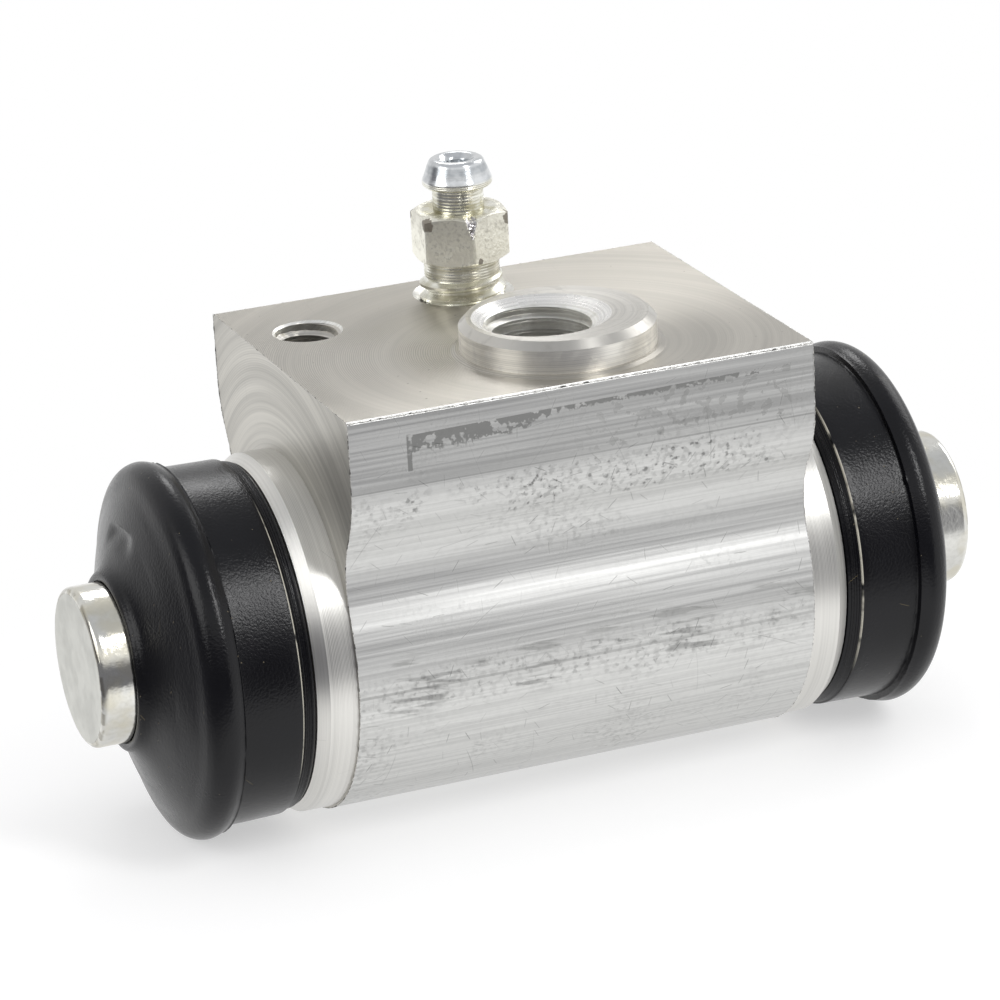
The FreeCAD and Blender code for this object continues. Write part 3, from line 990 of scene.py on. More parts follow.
DRAWN = DrawnAluminium("drawn_aluminium", (0.65, 0.65, 0.635), 0.4, anisotropic=0.7)
MILLED = MilledAluminium("milled_aluminium", (0.43, 0.41, 0.37), 0.3, anisotropic=0.8)
END_FACE = BoreTurned("turned_end_aluminium", (0.5, 0.485, 0.445), 0.34, anisotropic=0.65, contrast=0.26)
COLLAR = BoreTurned(
    "turned_collar_aluminium", (0.7, 0.69, 0.66), 0.33, anisotropic=0.75, pitch=0.14, across_radius=False
)
BOSS = UprightTurned("boss_aluminium", (0.54, 0.525, 0.49), 0.3, anisotropic=0.5)
# Painted light: a lighter copy of the boss finish for the boss's upright side.
BOSS_SIDE_PAINTED_LIGHT = UprightTurned("boss_side_painted_light_aluminium", (0.86, 0.84, 0.785), 0.36, anisotropic=0.6)
SINK = UprightTurned(
    "countersink_aluminium", (0.86, 0.85, 0.83), 0.24, anisotropic=0.5, axis=(FLUID_X, PORT_Y), lean=1.0
)
# In the two holes below, grime also paints shade that darkens them deeper down.
HOLE = UprightTurned(
    "tapped_hole_aluminium", (0.92, 0.9, 0.85), 0.28, anisotropic=0.2, axis=(FLUID_X, PORT_Y), grime=0.18
)
TORN_HOLE = UprightTurned(
    "torn_thread_aluminium", (0.6, 0.58, 0.54), 0.3, axis=(FIXING_X, FIXING_Y), grime=0.4
)
BURR = TornAluminium("burr_aluminium", (0.8, 0.79, 0.76), 0.36, dirt=0.0)
DARK_BURR = TornAluminium("dirty_burr_aluminium", (0.62, 0.61, 0.58), 0.42, dirt=0.5)
PIN = PinZinc("pin_zinc", (0.72, 0.73, 0.73), 0.09)
SCREW = ScrewZinc("screw_zinc", (0.8, 0.78, 0.67), 0.2)
NOTCH = TornAluminium("notched_steel", (0.78, 0.76, 0.77), 0.26, dirt=0.1)
# rim puts the boot's painted highlight on the band's edge.
BOOT = Rubber("moulded_black_rubber", (0.003, 0.003, 0.0045), 0.19, metallic=0.0, specular=0.28, rim=26.83)
SEAL = Rubber("smooth_black_rubber", (0.02, 0.02, 0.021), 0.42, metallic=0.0, dust=0.0, specular=0.4)
STEEL = SpringSteel("drawn_steel", (0.4, 0.4, 0.41), 0.3)


# Mesh building


def make_object(
    name: str, bm: bmesh.types.BMesh, finishes: Sequence[Finish], sharp: float = 35.0
) -> bpy.types.Object:
    """Turns a mesh drawn in millimetres into an object in metres.

    Args:
        name: The piece's name.
        bm: The mesh; it is freed.
        finishes: The finishes of its material slots.
        sharp: Edges that turn by more than this many degrees stay sharp.

    Returns:
        The new object, smooth shaded.
    """
    bmesh.ops.scale(bm, vec=(MM, MM, MM), verts=bm.verts)
    bmesh.ops.recalc_face_normals(bm, faces=bm.faces)
    mesh = bpy.data.meshes.new(name)
    bm.to_mesh(mesh)
    bm.free()
    mesh.polygons.foreach_set("use_smooth", [True] * len(mesh.polygons))
    mesh.set_sharp_from_angle(angle=math.radians(sharp))
    for finish in finishes:
        mesh.materials.append(finish.material())
    made = bpy.data.objects.new(name, mesh)
    bpy.context.scene.collection.objects.link(made)
    log.info("%s: %d faces", name, len(mesh.polygons))
    return made


def skin(bm: bmesh.types.BMesh, rings: Sequence[Sequence[bmesh.types.BMVert]], closed: bool) -> None:
    """Joins rings of vertices into a closed tube or loop.

    Args:
        bm: The mesh.
        rings: Rings of the same number of vertices.
        closed: True to join the last ring to the first, False to cap both ends.
    """
    count = len(rings[0])
    pairs = list(zip(rings, rings[1:]))
    if closed:
        pairs.append((rings[-1], rings[0]))
    for first, second in pairs:
        for i in range(count):
            j = (i + 1) % count
            bm.faces.new((first[i], first[j], second[j], second[i]))
    if not closed:
        bm.faces.new(rings[0])
        bm.faces.new(rings[-1])


def wobble(x: float, y: float, z: float) -> float:
    """Smooth repeatable noise, about -1 to 1."""
    return noise.noise(Vector((x, y, z)))


def smooth_step(value: float, low: float, high: float) -> float:
    """Smooth step from 0 at low to 1 at high."""
    share = min(1.0, max(0.0, (value - low) / (high - low)))
    return share * share * (3 - 2 * share)


def curve_through(points: Sequence[Point], steps: int) -> list[Point]:
    """Smooth curve through points, with a number of steps between neighbours.

    Args:
        points: At least two points.
        steps: Steps between each two.

    Returns:
        Points on the curve, both ends among them.
    """
    ends = [
        (2 * points[0][0] - points[1][0], 2 * points[0][1] - points[1][1]),
        (2 * points[-1][0] - points[-2][0], 2 * points[-1][1] - points[-2][1]),
    ]
    knots = [ends[0], *points, ends[1]]
    made: list[Point] = []
    for a, b, c, d in zip(knots, knots[1:], knots[2:], knots[3:]):
        for i in range(steps):
            t = i / steps
            made.append(tuple(
                0.5 * (
                    2 * q + (r - p) * t + (2 * p - 5 * q + 4 * r - s) * t**2
                    + (3 * q - p - 3 * r + s) * t**3
                )
                for p, q, r, s in zip(a, b, c, d)
            ))
    made.append(points[-1])
    return made


@dataclass(frozen=True)
class HelixRidge:
    """One ridge of a screw thread about an upright axis, as a closed swept solid."""

    axis: Point
    top: float
    bottom: float
    pitch: float
    root_radius: float
    crest_radius: float
    root_half: float
    crest_half: float
    fade_turns: float = 0.6
    roughness: float = 0.0
    overlap: float = 0.04
    steps_per_turn: int = 72

    def draw(self, bm: bmesh.types.BMesh) -> None:
        """Adds the ridge to a mesh.

        Args:
            bm: The mesh.
        """
        turns = (self.top - self.bottom) / self.pitch
        count = round(turns * self.steps_per_turn)
        sink = math.copysign(self.overlap, self.root_radius - self.crest_radius)
        rings = []
        for i in range(count + 1):
            turn = i / self.steps_per_turn
            fade = smooth_step(turn, -0.02, self.fade_turns)
            fade *= smooth_step(turns - turn, -0.02, self.fade_turns)
            height = self.bottom + turn * self.pitch
            angle = TURN * turn
            jitter = self.roughness * wobble(4 * math.cos(angle), 4 * math.sin(angle), height * 3)
            crest = self.root_radius + (self.crest_radius - self.root_radius) * fade * (1 + jitter)
            half = self.root_half * (0.25 + 0.75 * fade)
            tip = self.crest_half * (0.4 + 0.6 * fade)
            root = self.root_radius + sink
            section = [(root, -half), (crest, -tip), (crest, tip), (root, half)]
            rings.append([
                bm.verts.new((
                    self.axis[0] + r * math.cos(angle), self.axis[1] + r * math.sin(angle),
                    height + dz * (1 + jitter),
                ))
                for r, dz in section
            ])
        skin(bm, rings, closed=False)


@dataclass(frozen=True)
class EdgeStrip:
    """An irregular thread of metal pushed up along an edge, as a closed tube with a ragged radius."""

    name: str
    path: tuple[tuple[float, float, float], ...]
    radius: float
    finish: Finish
    seed: float
    step: float = 0.16
    sides: int = 6

    def build(self) -> bpy.types.Object:
        """Makes the strip.

        Returns:
            The strip, riding on the cylinder.
        """
        bm = bmesh.new()
        rings = []
        points = self.sampled()
        for i, here in enumerate(points):
            ahead = points[min(i + 1, len(points) - 1)] - points[max(i - 1, 0)]
            first = ahead.orthogonal().normalized()
            second = ahead.cross(first).normalized()
            along = i * self.step
            size = self.radius * max(0.12, 0.65 + 0.9 * wobble(along * 1.7, self.seed, 0.0)
                                     + 0.5 * wobble(along * 6.0, self.seed, 3.0))
            if i in (0, len(points) - 1):
                size = self.radius * 0.1
            drift = first * (0.3 * self.radius * wobble(along * 2.3, self.seed, 6.0))
            ring = []
            for k in range(self.sides):
                angle = TURN * k / self.sides
                reach = size * (1 + 0.3 * wobble(along * 4, k * 2.0, self.seed))
                out = first * math.cos(angle) + second * math.sin(angle)
                ring.append(bm.verts.new(here + drift + out * reach))
            rings.append(ring)
        skin(bm, rings, closed=False)
        made = make_object(self.name, bm, [self.finish], 60.0)
        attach(made, "cylinder")
        return made

    def sampled(self) -> list[Vector]:
        """Divides the path.

        Returns:
            Points about a step apart, both ends among them.
        """
        points = [Vector(p) for p in self.path]
        made = []
        for a, b in zip(points, points[1:]):
            count = max(1, round((b - a).length / self.step))
            made += [a.lerp(b, i / count) for i in range(count)]
        return [*made, points[-1]]


# The sub-assemblies


@dataclass(frozen=True)
class ExtrudedBody:
    """The aluminium body: dresses its solid by zones and adds threads and burrs."""

    shoulder: Point = (7.75, 18.8)
    shoulder_radius: float = 10.0
    waist_radius: float = 8.0
    belly_radius: float = 16.5
    bore_radius: float = 11.1
    boss_foot: float = 9.55
    mouth_radius: float = 12.0
    mouth_reach: float = 30.0
    port_radius: float = 5.0
    sink_radius: float = 6.4
    sink_floor: float = 2.3
    bleed_radius: float = 4.64
    fixing_radius: float = 3.18
    curve_steps: int = 14

    def build(self) -> None:
        """Dresses the body and builds its small pieces."""
        self.dress_zones(frame["nodes"]["cylinder_body"])
        self.port_thread()
        self.fixing_thread()
        self.burrs()

    def dress_zones(self, body: bpy.types.Object) -> None:
        """Gives each face of the body the finish of its zone.

        Args:
            body: The body's solid.
        """
        finishes = {
            Zone.DRAWN: DRAWN, Zone.MILLED: MILLED, Zone.END: END_FACE, Zone.SPIGOT: COLLAR,
            Zone.BOSS: BOSS, Zone.BOSS_SIDE_PAINTED_LIGHT: BOSS_SIDE_PAINTED_LIGHT, Zone.SINK: SINK, Zone.HOLE: HOLE,
        }
        order = list(finishes)
        body.data.materials.clear()
        for zone in order:
            body.data.materials.append(finishes[zone].material())
        for face in body.data.polygons:
            face.material_index = order.index(self.zone(face.center / MM, face.normal))
        log.info("cylinder_body: %d faces in %d zones", len(body.data.polygons), len(order))

    def zone(self, at: Vector, normal: Vector) -> Zone:
        """Which zone a face belongs to.

        Args:
            at: The face's middle, in millimetres.
            normal: Its normal.

        Returns:
            The zone.
        """
        reach = abs(at.x - MIDDLE_X)
        about_bore = math.hypot(at.y - BORE_Y, at.z - BORE_Z)
        about_port = math.hypot(at.x - FLUID_X, at.y - PORT_Y)
        about_bleed = math.hypot(at.x - FLUID_X, at.y - BLEED_Y)
        about_fixing = math.hypot(at.x - FIXING_X, at.y - FIXING_Y)
        if about_bore < self.bore_radius + 0.05:
            return Zone.HOLE
        if reach > self.mouth_reach and about_bore < self.mouth_radius:
            return Zone.HOLE
        if about_port < self.port_radius + 0.02:
            return Zone.HOLE
        if about_port < self.sink_radius and at.z > self.sink_floor:
            return Zone.SINK if normal.z < 0.95 else Zone.BOSS
        if at.z < 0.0 and (about_bleed < self.bleed_radius or about_fixing < self.fixing_radius):
            return Zone.HOLE
        if math.hypot(at.x, at.y) < self.boss_foot + 0.02 and at.z > 0.01:
            if at.z < 0.3:
                return Zone.MILLED
            # Upright faces of the boss get the lighter copy of its finish, which is painted light.
            return Zone.BOSS_SIDE_PAINTED_LIGHT if normal.z < 0.2 else Zone.BOSS
        if reach > HALF_BODY + 0.01:
            return Zone.SPIGOT
        if reach > HALF_BODY - 0.01 and abs(normal.x) > 0.9:
            return Zone.END
        return Zone.MILLED if at.z > -0.01 and normal.z > 0.9 else Zone.DRAWN

    def port_thread(self) -> None:
        """The brake pipe port's M10 thread."""
        bm = bmesh.new()
        HelixRidge(
            axis=(FLUID_X, PORT_Y), top=2.5, bottom=-7.0, pitch=1.0, root_radius=self.port_radius,
            crest_radius=4.46, root_half=0.44, crest_half=0.1,
        ).draw(bm)
        made = make_object("port_thread", bm, [HOLE])
        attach(made, "cylinder")

    def fixing_thread(self) -> None:
        """The fixing hole's M6 thread, its crests a little torn."""
        bm = bmesh.new()
        HelixRidge(
            axis=(FIXING_X, FIXING_Y), top=-0.25, bottom=-9.5, pitch=1.0, root_radius=3.0, crest_radius=2.5,
            root_half=0.44, crest_half=0.12, roughness=0.35,
        ).draw(bm)
        made = make_object("fixing_thread", bm, [TORN_HOLE])
        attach(made, "cylinder")

    def section(self, side: int) -> list[Point]:
        """Half of the bar's outline, from the top edge to the bottom.

        Args:
            side: -1 for the front half, 1 for the back half.

        Returns:
            The outline's points, as (y, z).
        """
        waist_gap = self.belly_radius + self.waist_radius
        shoulder_gap = self.shoulder_radius + self.waist_radius
        apart = math.hypot(*self.shoulder)
        along = (apart**2 + waist_gap**2 - shoulder_gap**2) / (2 * apart)
        aside = math.sqrt(waist_gap**2 - along**2)
        toward = (self.shoulder[0] / apart, self.shoulder[1] / apart)
        waist = (toward[0] * along + toward[1] * aside, toward[1] * along - toward[0] * aside)
        lean = math.atan2(waist[1] - self.shoulder[1], waist[0] - self.shoulder[0])
        fall = math.atan2(waist[1], waist[0])
        steps = self.curve_steps
        made = [(HALF_WIDTH, -BORE_Z), (HALF_WIDTH, self.shoulder[1])]
        for i in range(1, steps + 1):
            angle = lean * i / steps
            made.append((
                self.shoulder[0] + self.shoulder_radius * math.cos(angle),
                self.shoulder[1] + self.shoulder_radius * math.sin(angle),
            ))
        start, end = lean + math.pi, fall + math.pi
        for i in range(1, steps + 1):
            angle = start + (end - start) * i / steps
            made.append((
                waist[0] + self.waist_radius * math.cos(angle),
                waist[1] + self.waist_radius * math.sin(angle),
            ))
        for i in range(1, 2 * steps + 1):
            angle = fall + (-math.pi / 2 - fall) * i / (2 * steps)
            made.append((self.belly_radius * math.cos(angle), self.belly_radius * math.sin(angle)))
        return [(BORE_Y + side * y, BORE_Z + z) for y, z in made]

    def burrs(self) -> None:
        """Burrs along the long top edges and round both ends of the bar."""
        left, right = MIDDLE_X - HALF_BODY, MIDDLE_X + HALF_BODY
        back = BORE_Y + HALF_WIDTH
        front_in, back_in, low = FRONT_Y + 0.06, back - 0.06, -0.1
        left_in, right_in, high = left + 0.02, right - 0.02, -0.02
        strips = [
            ("burr_front_top", ((left, front_in, low), (right, front_in, low)), 0.1, BURR, 1.0),
            ("burr_back_top", ((left, back_in, low), (right, back_in, low)), 0.07, BURR, 4.0),
            ("burr_left_top", ((left_in, FRONT_Y, high), (left_in, back, high)), 0.035, DARK_BURR, 7.0),
            ("burr_right_top", ((right_in, FRONT_Y, high), (right_in, back, high)), 0.05, BURR, 9.0),
        ]
        for end, x in (("left", left), ("right", right)):
            for side, word in ((-1, "front"), (1, "back")):
                path = tuple((x, y, z) for y, z in self.section(side))
                finish = DARK_BURR if end == "left" else BURR
                strips.append((f"burr_{end}_{word}", path, 0.05, finish, 11.0 + side + x))
        for name, path, radius, finish, seed in strips:
            EdgeStrip(name, path, radius, finish, seed).build()


@dataclass(frozen=True)
class DustBoot:
    """A rubber boot: lip, band, rounded bulge with a moulding flash, cone and nose on the pin."""

    side: Side
    segments: int = 240
    lip_steps: int = 24
    lip_ribs: float = 4.5
    bend: Point = (35.2, 38.0)
    flash_at: float = 32.31
    dent_at: float = 37.15
    dent_angle: float = 0.0
    dent_depth: float = 0.0
    seed: float = 1.0

    def profile(self) -> list[Point]:
        """The boot's closed outline.

        Returns:
            Its points, as (distance from the bore's middle, radius).
        """
        lip = []
        for i in range(self.lip_steps + 1):
            share = i / self.lip_steps
            rib = 0.04 * math.cos(TURN * self.lip_ribs * share)
            lip.append((25.66 + 1.08 * share, 15.7 + 0.2 * share - rib))
        outer = [(25.5, 14.45), (25.5, 15.3), (25.53, 15.5), (25.58, 15.62), *lip]
        outer += [(26.77, 15.96), (26.78, 16.04), (26.82, 16.1), (26.9, 16.12)]
        outer += [(26.9 + 5.2 * i / 8, 16.12 + 0.1 * i / 8) for i in range(1, 9)]
        outer += [(32.22, 16.23), (32.27, 16.25), (32.29, 16.3)]
        outer += [(self.flash_at, 16.6), (32.34, 16.76), (32.4, 16.7)]
        bulge = [
            (32.55, 16.75), (33.1, 16.98), (33.7, 17.05), (34.4, 16.85), (35.0, 16.4), (35.4, 15.75),
            (35.65, 15.1),
        ]
        cone = [
            (35.8, 14.65), (36.5, 12.9), (37.15, 11.2), (37.75, 9.7), (38.2, 8.8), (38.55, 8.35),
            (38.85, 8.12),
        ]
        outer += curve_through(bulge, 5) + curve_through(cone, 6)
        outer += [(39.0, 8.0), (39.1, 7.85), (39.13, 7.65), (39.12, 7.45), (39.08, 7.36)]
        inner = [(38.8, 7.34), (38.8, 6.36), (37.02, 6.36), (37.02, 7.4), (37.1, 8.4)]
        hollow = [(36.6, 9.7), (35.4, 12.6), (34.3, 15.2), (33.6, 15.9), (32.4, 15.9), (31.9, 15.32)]
        inner += curve_through(hollow, 3)
        inner += [(27.42, 15.32), (27.42, 14.45)]
        return outer + inner

    def build(self) -> bpy.types.Object:
        """Makes the boot.

        Returns:
            The boot.
        """
        word = self.side.name.lower()
        profile = self.profile()
        bm = bmesh.new()
        rings = []
        for i in range(self.segments):
            angle = TURN * i / self.segments
            ring = []
            for d, r in profile:
                d, r = self.worn(d, r, angle)
                y, z = BORE_Y - r * math.cos(angle), BORE_Z + r * math.sin(angle)
                ring.append(bm.verts.new((MIDDLE_X + self.side.value * d, y, z)))
            rings.append(ring)
        skin(bm, rings, closed=True)
        made = make_object(f"boot_{word}", bm, [BOOT], 32.0)
        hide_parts(f"dust_boot_{word}")
        start, end = ((MIDDLE_X + self.side.value * reach) * MM for reach in self.bend)
        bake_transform(made)
        return made

    def worn(self, d: float, r: float, angle: float) -> Point:
        """Moves a profile point for the flash's nicks, a slight ovality and the dent.

        Args:
            d: Distance from the bore's middle.
            r: Radius.
            angle: Angle about the bore, from the front towards the top.

        Returns:
            The moved point.
        """
        if r < 14.0 and d < 36.9 or r < 7.5 or d < 26.0:
            return d, r
        x, y = math.cos(angle), math.sin(angle)
        flash = math.exp(-((d - self.flash_at) / 0.07) ** 2) * (r > 16.2)
        rag = 0.05 * wobble(9 * x, 9 * y, self.seed) + 0.04 * wobble(31 * x, 31 * y, self.seed)
        nick = -0.12 * smooth_step(wobble(17 * x, 17 * y, self.seed + 5), 0.42, 0.55)
        r += flash * (rag + nick)
        if r > 15.0:
            r += 0.03 * wobble(1.6 * x, 1.6 * y, d * 0.3 + self.seed)
        else:
            d += 0.06 * wobble(2.1 * x, 2.1 * y, r * 0.2 + self.seed)
        if self.dent_depth:
            around = (angle - self.dent_angle) * r
            across = (d - self.dent_at) * 2.5
            hollow = math.exp(-((around / 3.0) ** 4 + (across / 0.85) ** 2))
            ridge = math.exp(-((around / 2.8) ** 4 + ((across + 1.4) / 0.5) ** 2))
            d += self.dent_depth * (0.4 * ridge - hollow)
        return d, r


@dataclass(frozen=True)
class BleedScrew:
    """The bleed screw: turned shank and nipple, M8 thread, worn hexagon."""

    hex_flats: float = 8.0
    hex_bottom: float = 3.4
    hex_top: float = 8.0
    hex_core: float = 2.0
    face_radius: float = 3.85
    chamfer_slope: float = math.tan(math.radians(30.0))
    corner_round: float = 0.16
    corner_softness: float = 0.02
    notch_turn: float = 238.0
    notch_radius: float = 4.5
    notch_width: float = 0.62
    notch_length: float = 1.9
    notch_depth: float = 0.34
    segments: int = 120
    hex_columns: int = 288
    hex_rows: int = 26

    def build(self) -> bpy.types.Object:
        """Makes the whole screw as one piece.

        Returns:
            The screw, riding on the bleeder.
        """
        bm = bmesh.new()
        self.turned(bm)
        self.hexagon(bm)
        HelixRidge(
            axis=(FLUID_X, BLEED_Y), top=2.15, bottom=-7.0, pitch=1.25, root_radius=3.36, crest_radius=3.95,
            root_half=0.58, crest_half=0.12, fade_turns=0.75,
        ).draw(bm)
        made = make_object("bleed_screw_detailed", bm, [SCREW, NOTCH], 30.0)
        self.mark_notch(made)
        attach(made, "bleeder")
        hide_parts("bleed_screw")
        return made

    def rings(self, start: float, end: float, radius: float, depth: float, pitch: float) -> list[Point]:
        """A turned length with fine rings on it.

        Args:
            start: The first height.
            end: The last height.
            radius: Its mean radius.
            depth: How far the rings stand out or cut in.
            pitch: Distance from one ring to the next.

        Returns:
            Its outline, as (radius, height) points.
        """
        count = max(8, round(abs(end - start) / pitch * 8))
        made = []
        for i in range(count + 1):
            height = start + (end - start) * i / count
            cut = depth * (math.sin(TURN * height / pitch) + 0.6 * wobble(height * 5, radius, 0.0))
            made.append((radius + cut, height))
        return made

    def turned(self, bm: bmesh.types.BMesh) -> None:
        """Adds the turned core: seat cone, shank, neck, stem, barb and the bore through the nipple.

        Args:
            bm: The screw's mesh.
        """
        profile = [(0.0, -12.57), (1.0, -12.57), (3.1, -10.47), (3.1, -7.4), (3.36, -7.1), (3.36, 1.7)]
        profile += self.rings(1.82, 3.38, 3.47, 0.009, 0.27)
        profile += [(3.3, 3.6), (3.0, 7.7), (2.42, 7.9)]
        profile += self.rings(7.98, 10.12, 2.34, 0.008, 0.3)
        profile += [(2.36, 10.18), (2.9, 10.2), (3.04, 10.24), (3.12, 10.32)]
        profile += self.rings(10.36, 10.78, 3.19, 0.014, 0.16)
        profile += curve_through([(3.19, 10.84), (3.02, 11.22), (2.78, 11.85), (2.6, 12.3)], 4)
        profile += [(2.53, 12.48), (2.42, 12.61), (2.28, 12.7), (2.12, 12.745), (1.78, 12.75)]
        profile += [(1.68, 12.72), (1.45, 12.5), (1.24, 12.26), (1.2, 12.15), (1.2, -10.9), (0.0, -11.6)]
        rings: list[list[bmesh.types.BMVert]] = []
        for r, z in profile[1:-1]:
            ring = []
            for i in range(self.segments):
                angle = TURN * i / self.segments
                ring.append(bm.verts.new((FLUID_X + r * math.cos(angle), BLEED_Y + r * math.sin(angle), z)))
            rings.append(ring)
        for first, second in zip(rings, rings[1:]):
            for i in range(self.segments):
                j = (i + 1) % self.segments
                bm.faces.new((first[i], first[j], second[j], second[i]))
        for ring, height in ((rings[0], profile[0][1]), (rings[-1], profile[-1][1])):
            tip = bm.verts.new((FLUID_X, BLEED_Y, height))
            for i in range(self.segments):
                bm.faces.new((ring[i], ring[(i + 1) % self.segments], tip))

    def hex_radius(self, angle: float) -> float:
        """How far the hexagon reaches, with slightly rounded corners.

        Args:
            angle: The direction about the screw's axis.

        Returns:
            The radius in that direction.
        """
        apothem = self.hex_flats / 2
        off = (math.degrees(angle) - HEX_TURN) % 60.0
        off = min(off, 60.0 - off)
        flat = apothem / math.cos(math.radians(30.0 - off))
        cap = apothem / math.cos(math.radians(30.0)) - self.corner_round * 0.45
        soft = self.corner_softness
        return -soft * math.log(math.exp(-flat / soft) + math.exp(-cap / soft))

    def notch(self, angle: float, height: float) -> float:
        """How deep the burred notch at the front corner's top cuts in.

        Args:
            angle: The direction about the screw's axis.
            height: The height on the screw.

        Returns:
            The depth in millimetres, 0 away from the notch.
        """
        middle = math.radians(HEX_TURN + self.notch_turn)
        around = abs((angle - middle + math.pi) % TURN - math.pi) * self.notch_radius
        down = self.hex_top - height
        width = self.notch_width * (1.0 - down / self.notch_length)
        if width <= 0.0 or around > width:
            return 0.0
        torn = 1 + 0.6 * wobble(around * 6, height * 5, 2.0)
        return self.notch_depth * (1.0 - (around / width) ** 2) * torn

    def hexagon(self, bm: bmesh.types.BMesh) -> None:
        """Adds the hexagon, its corners chamfered, with the notch at one corner.

        Args:
            bm: The screw's mesh.
        """
        rows = self.hex_rows
        middle = (self.hex_bottom + self.hex_top) / 2
        columns: list[list[bmesh.types.BMVert]] = []
        for i in range(self.hex_columns):
            angle = TURN * i / self.hex_columns
            radius = self.hex_radius(angle)
            fall = max(0.0, radius - self.face_radius) * self.chamfer_slope
            low, high = self.hex_bottom + fall, self.hex_top - fall
            chamfer = self.face_radius + (radius - self.face_radius) * 0.5
            line = [(self.hex_core, self.hex_bottom), (self.face_radius, self.hex_bottom)]
            line += [(chamfer, self.hex_bottom + fall * 0.5)]
            line += [(radius, low + (high - low) * k / rows) for k in range(rows + 1)]
            line += [(chamfer, self.hex_top - fall * 0.5)]
            line += [(self.face_radius, self.hex_top), (self.hex_core, self.hex_top)]
            column = []
            for r, z in line:
                if z > middle and r > 3.6:
                    r -= self.notch(angle, z)
                r += 0.012 * wobble(angle * 9, z * 2.0, 8.0) * (r > 3.0)
                x, y = FLUID_X + r * math.cos(angle), BLEED_Y + r * math.sin(angle)
                column.append(bm.verts.new((x, y, z)))
            columns.append(column)
        skin(bm, columns, closed=True)

    def mark_notch(self, made: bpy.types.Object) -> None:
        """Gives the faces inside the notch their own finish.

        Args:
            made: The screw.
        """
        for face in made.data.polygons:
            at = face.center / MM
            out = math.hypot(at.x - FLUID_X, at.y - BLEED_Y)
            angle = math.atan2(at.y - BLEED_Y, at.x - FLUID_X)
            if out > 3.7 and at.z > 5.9 and self.notch(angle, at.z) > 0.05:
                face.material_index = 1


@dataclass(frozen=True)
class ReturnSpring:
    """The coil spring between the expanders, in two halves."""

    radius: float = 5.9
    wire: float = 1.1
    turns: float = 4.0
    steps_per_turn: int = 40
    sides: int = 12
    still_reach: float = 1.0

    def build(self) -> None:
        """Makes both halves."""
        low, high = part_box("return_spring")
        reach = (high[0] - low[0]) / 2 / MM - self.wire / 2
        for side in Side:
            self.half(side, reach)

    def half(self, side: Side, reach: float) -> bpy.types.Object:
        """One half of the spring.

        Args:
            side: The end of the bore that it reaches.
            reach: Distance from the bore's middle to the last coil's middle.

        Returns:
            The half.
        """
        word = side.name.lower()
        first = 0.0 if side is Side.LEFT else self.turns / 2
        count = round(self.steps_per_turn * self.turns / 2)
        bm = bmesh.new()
        rings = []
        for i in range(count + 1):
            turn = first + i / self.steps_per_turn
            angle = TURN * turn
            outward = Vector((0.0, math.cos(angle), math.sin(angle)))
            speed = TURN * self.radius
            forward = Vector((2 * reach / self.turns, -speed * math.sin(angle), speed * math.cos(angle)))
            forward.normalize()
            aside = forward.cross(outward)
            middle = Vector((MIDDLE_X - reach + 2 * reach * turn / self.turns, BORE_Y, BORE_Z))
            middle += outward * self.radius
            ring = []
            for j in range(self.sides):
                spin = TURN * j / self.sides
                off = outward * math.cos(spin) + aside * math.sin(spin)
                ring.append(bm.verts.new(middle + off * self.wire / 2))
            rings.append(ring)
        skin(bm, rings, closed=False)
        made = make_object(f"return_spring_{word}_half", bm, [STEEL], 60.0)
        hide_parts("return_spring")
        end = (MIDDLE_X + side.value * reach) * MM
        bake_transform(made)
        return made


@dataclass(frozen=True)
class InnerParts:
    """The pieces that keep their solids: pistons, cup seals and expanders."""

    finishes: tuple[tuple[str, Finish], ...] = (
        ("piston_left", PIN), ("piston_right", PIN), ("cup_seal_left", SEAL), ("cup_seal_right", SEAL),
        ("cup_expander_left", STEEL), ("cup_expander_right", STEEL),
    )

    def build(self) -> None:
        """Dresses each of these solids."""
        for node, finish in self.finishes:
            solid = frame["nodes"][node]
            solid.data.materials.clear()
            solid.data.materials.append(finish.material())
            log.info("%s: %s", node, finish.name)


@dataclass(frozen=True)
class SoftBox:
    """A rectangular lamp that faces the cylinder."""

    name: str
    place: tuple[float, float, float]
    size: Point
    power: float

    def build(self) -> None:
        """Hangs the lamp in its place."""
        data = bpy.data.lights.new(self.name, "AREA")
        data.shape = "RECTANGLE"
        data.size, data.size_y = self.size[0] * MM, self.size[1] * MM
        data.energy = self.power
        made = bpy.data.objects.new(self.name, data)
        place = Vector(self.place)
        aim = (Vector((MIDDLE_X, BORE_Y, BORE_Z)) - place).to_track_quat("-Z", "Y")
        made.matrix_world = Matrix.Translation(place * MM) @ aim.to_matrix().to_4x4()
        bpy.context.scene.collection.objects.link(made)


